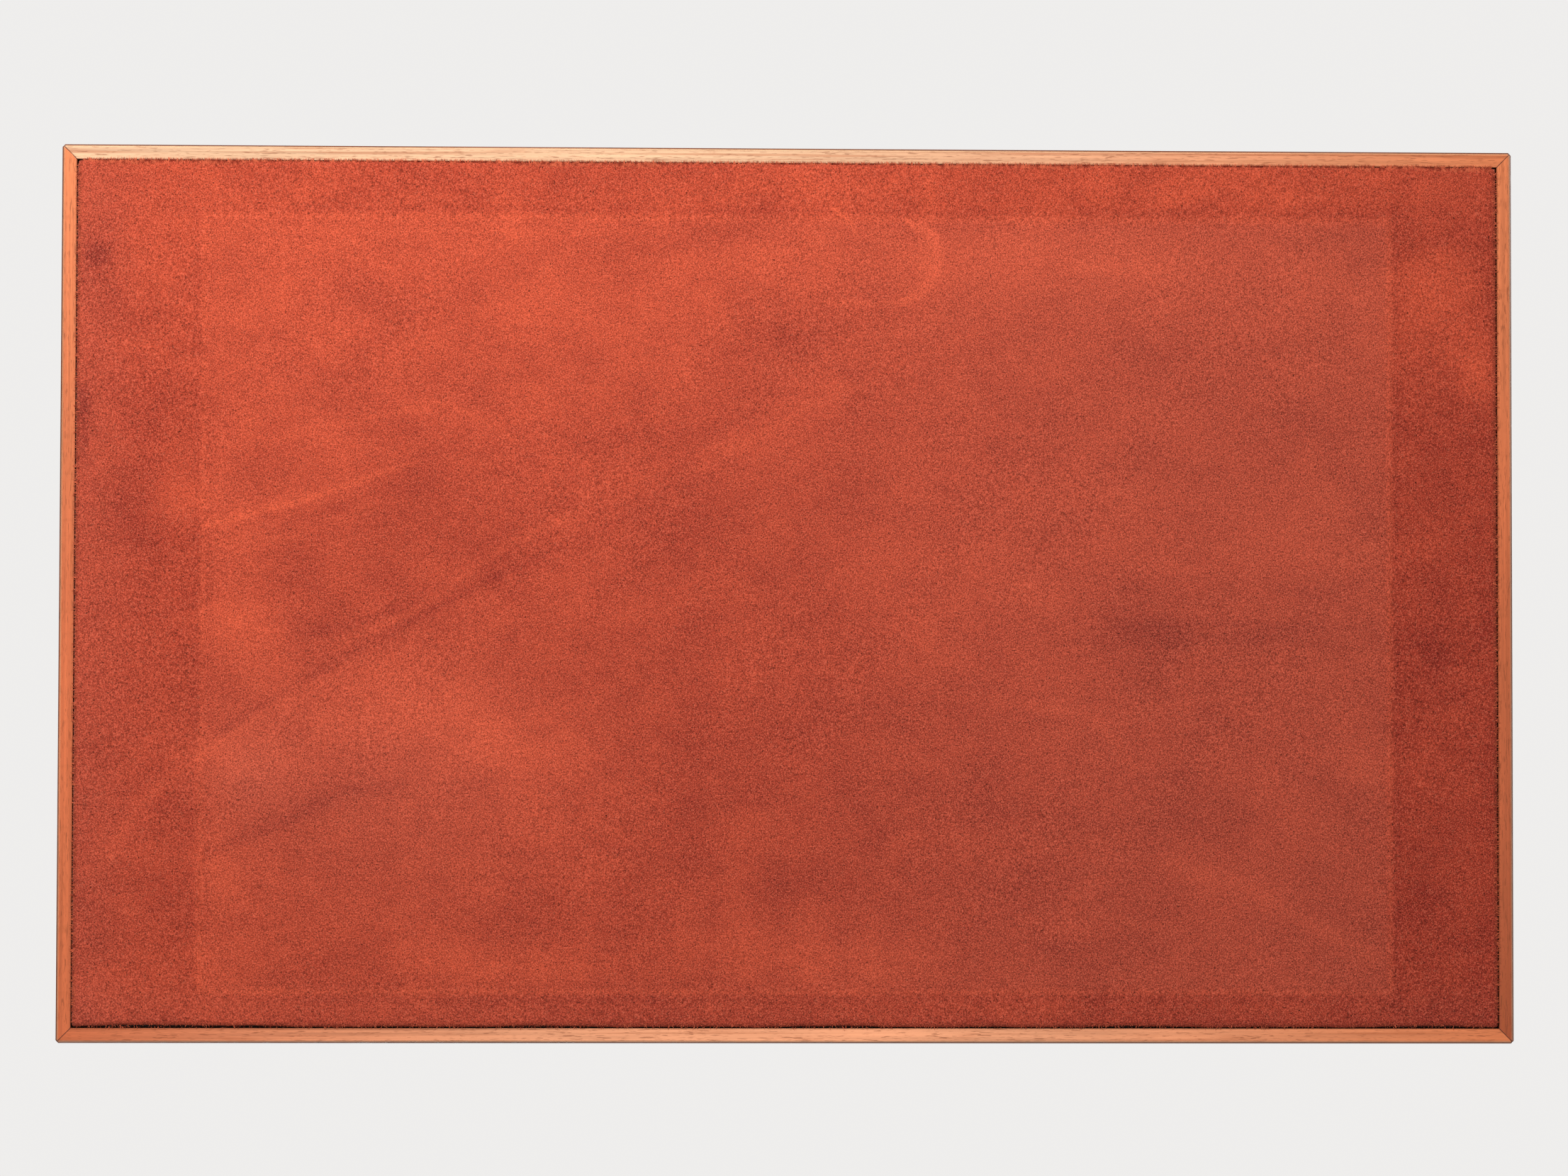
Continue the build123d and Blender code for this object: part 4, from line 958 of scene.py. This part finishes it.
def wire_bail():
    """A bail bent from round wire, with its pivot pins, about the centre of its bend."""
    bend, wire, pivot, pin, pin_end = 9.5 * MM, 1.25 * MM, 7.0 * MM, 0.95 * MM, 12.3 * MM
    set_back, leg = 1.4 * MM, pivot + wire
    bpy.ops.mesh.primitive_circle_add(vertices=16, radius=wire, fill_type="NGON",
                                      location=(-bend, set_back, leg))
    loop = bpy.context.object
    open_mesh()
    bpy.ops.mesh.extrude_region_move(TRANSFORM_OT_translate={"value": (0, 0, -leg)})
    bpy.ops.mesh.spin(steps=32, angle=math.pi, center=(0, set_back, 0), axis=(0, 1, 0))
    bpy.ops.mesh.extrude_region_move(TRANSFORM_OT_translate={"value": (0, 0, leg)})
    close_mesh(merge=0.00001)
    parts = [loop]
    long = pin_end - bend
    for end in (-1, 1):
        bpy.ops.mesh.primitive_cylinder_add(
            vertices=16, radius=pin, depth=long, rotation=(0, math.pi / 2, 0),
            location=(end * (bend + long / 2), set_back, pivot))
        parts.append(bpy.context.object)
    for part in parts:
        set_down(part, (0, 0, 0))
    return joined(parts, "bail")


def hygrometer_face():
    """The turned bezel and the printed marks of the dial, which reads from 0 to 100."""
    rim, inner = 32.0, 26.8
    profile = [(inner, 0.0), (inner, -1.2), (inner + 0.25, -1.6), (inner + 0.8, -1.9),
               (inner + 1.6, -2.0), (rim - 1.3, -2.0), (rim - 0.6, -1.75), (rim - 0.15, -1.2),
               (rim, -0.6), (rim, 0.0)]
    bezel = ring("turned_bezel", profile, sides=96)
    set_down(bezel, (HYGRO_X, 0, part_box("lid_ceiling")[0].z))
    fitted(bezel, "hygrometer_bezel", "lid", brass("brass_bezel"))
    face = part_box("hygrometer_dial")[0].z
    marks = []
    for value in range(0, 101, 2):
        lean = math.radians((value - 50) * DEGREES_PER_UNIT)
        long, wide = (2.6, 0.34) if value % 10 == 0 else (1.5, 0.16)
        bpy.ops.mesh.primitive_cube_add(size=1, scale=(wide * MM, long * MM, 2 * HALF_INK))
        tick = bpy.context.object
        set_down(tick, on_dial(lean, (DIAL_RING_MM - long / 2) * MM, face), (0, 0, lean))
        marks.append(tick)
        if value % 20 == 0:
            marks.append(numeral(str(value), lean, 17.2 * MM, 4.0 * MM, face))
    marks.append(numeral("%", 0.0, -9.0 * MM, 3.6 * MM, face))
    print_marks = joined(marks, "dial_print")
    printing_ink("dial_ink").on(print_marks)
    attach(print_marks, "lid")


def on_dial(lean, reach, face):
    """The place of a mark on the dial's face, at reach from its centre."""
    return (HYGRO_X + reach * math.sin(lean), -reach * math.cos(lean), face - HALF_INK)


def numeral(text, lean, reach, size, face):
    """A plain figure on the dial, upright when the lid stands open."""
    bpy.ops.object.text_add()
    figure = bpy.context.object
    figure.data.body, figure.data.size = text, size
    figure.data.align_x, figure.data.align_y = "CENTER", "CENTER"
    figure.data.extrude = HALF_INK
    bpy.ops.object.convert(target="MESH")
    figure = bpy.context.object
    set_down(figure, on_dial(lean, reach, face), (math.pi, 0, 0))
    return figure


def drawer_linings():
    """A suede mat laid in each drawer, not quite flat."""
    for name in ("left", "right"):
        low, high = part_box(f"drawer_{name}_lining")
        wide, deep = high.x - low.x, high.y - low.y
        bpy.ops.mesh.primitive_grid_add(x_subdivisions=48, y_subdivisions=60, size=1)
        mat = bpy.context.object
        mat.name = name + "_lining_suede"
        flat = grid_points(mat.data)
        x = (low.x + high.x) / 2 + flat[:, 0] * wide
        y = (low.y + high.y) / 2 + flat[:, 1] * deep
        lift = np.sin(x * 61 + 1) * np.sin(y * 47) + 0.6 * np.sin(x * 130 + y * 90)
        move_points(mat.data, x, y, high.z - 0.18 * MM + 0.1 * MM * lift)
        open_mesh()
        bpy.ops.mesh.region_to_loop()
        down = low.z - high.z + 0.3 * MM
        bpy.ops.mesh.extrude_edges_move(TRANSFORM_OT_translate={"value": (0, 0, down)})
        bpy.ops.mesh.edge_face_add()
        close_mesh()
        bpy.ops.object.shade_smooth_by_angle(angle=math.radians(35))
        finish = suede_finish(name + "_lining_rust")
        fitted(mat, f"drawer_{name}_lining", f"drawer_{name}", finish)


# Making

photographers_camera()
studio_floor()
studio_light()

# tints of the bare bottom edges, palest along the front board: partly the boards' own colour,
# partly painted light
palest, blond, amber = (233, 187, 149), (252, 172, 128), (238, 135, 84)
russet, chestnut = (210, 108, 64), (182, 88, 52)
mahogany("sawn_front", "X", 3.1, (palest, palest, amber)).on(nodes["case_front"])
mahogany("sawn_back", "X", 8.4, (russet, blond, blond, amber)).on(nodes["case_back"])
mahogany("sawn_left", "Y", 5.5, (amber, russet, russet)).on(nodes["case_side_left"])
mahogany("sawn_right", "Y", 6.2, (amber, russet, chestnut)).on(nodes["case_side_right"])
lacquered = {"X": ("lid_front", "lid_back", "lid_panel", "drawer_left_front",
                   "drawer_right_front"),
             "Y": ("lid_side_left", "lid_side_right")}
planed = {"X": ("well_floor", "lining_front", "lining_back", "tray_ledges", "tray_sides",
                "lid_ceiling", "lid_lining_long"),
          "Y": ("lining_left", "lining_right", "well_dividers", "tray_ends", "tray_slats",
                "tray_divider", "lid_lining_short")}
ply = {"X": ("base_board", "drawer_left_back", "drawer_right_back"),
       "Y": ("drawer_partition", "drawer_runners", "drawer_left_sides", "drawer_right_sides",
             "drawer_left_floor", "drawer_right_floor")}
for make, boards in ((mahogany, lacquered), (cedar, planed), (birch, ply)):
    for along, names in boards.items():
        for name in names:
            make(f"{make.__name__}_{name}", along, 13.7 * len(bpy.data.materials)).on(nodes[name])
for name in ("hinge_case_leaves", "hinge_lid_leaves", "hinge_pins", "lock_body", "lock_strike",
             "lock_escutcheon", "lock_plug", "hygrometer_case"):
    brass("brass_" + name).on(nodes[name])
for name in ("lock_bolt", "humidifier_plate", "humidifier_magnets"):
    satin_metal("steel_" + name, (196, 198, 202), (128, 130, 134), "Y", 0.3).on(nodes[name])
dial_paper().on(nodes["hygrometer_dial"])
printing_ink("needle_black").on(nodes["hygrometer_needle"])
clear_glass().on(nodes["hygrometer_glass"])
black_plastic().on(nodes["humidifier_shell"])
green_foam().on(nodes["humidifier_core"])
screw_rows()
flush_pulls()
hygrometer_face()
drawer_linings()
wrapped_suede()
edge_fuzz()
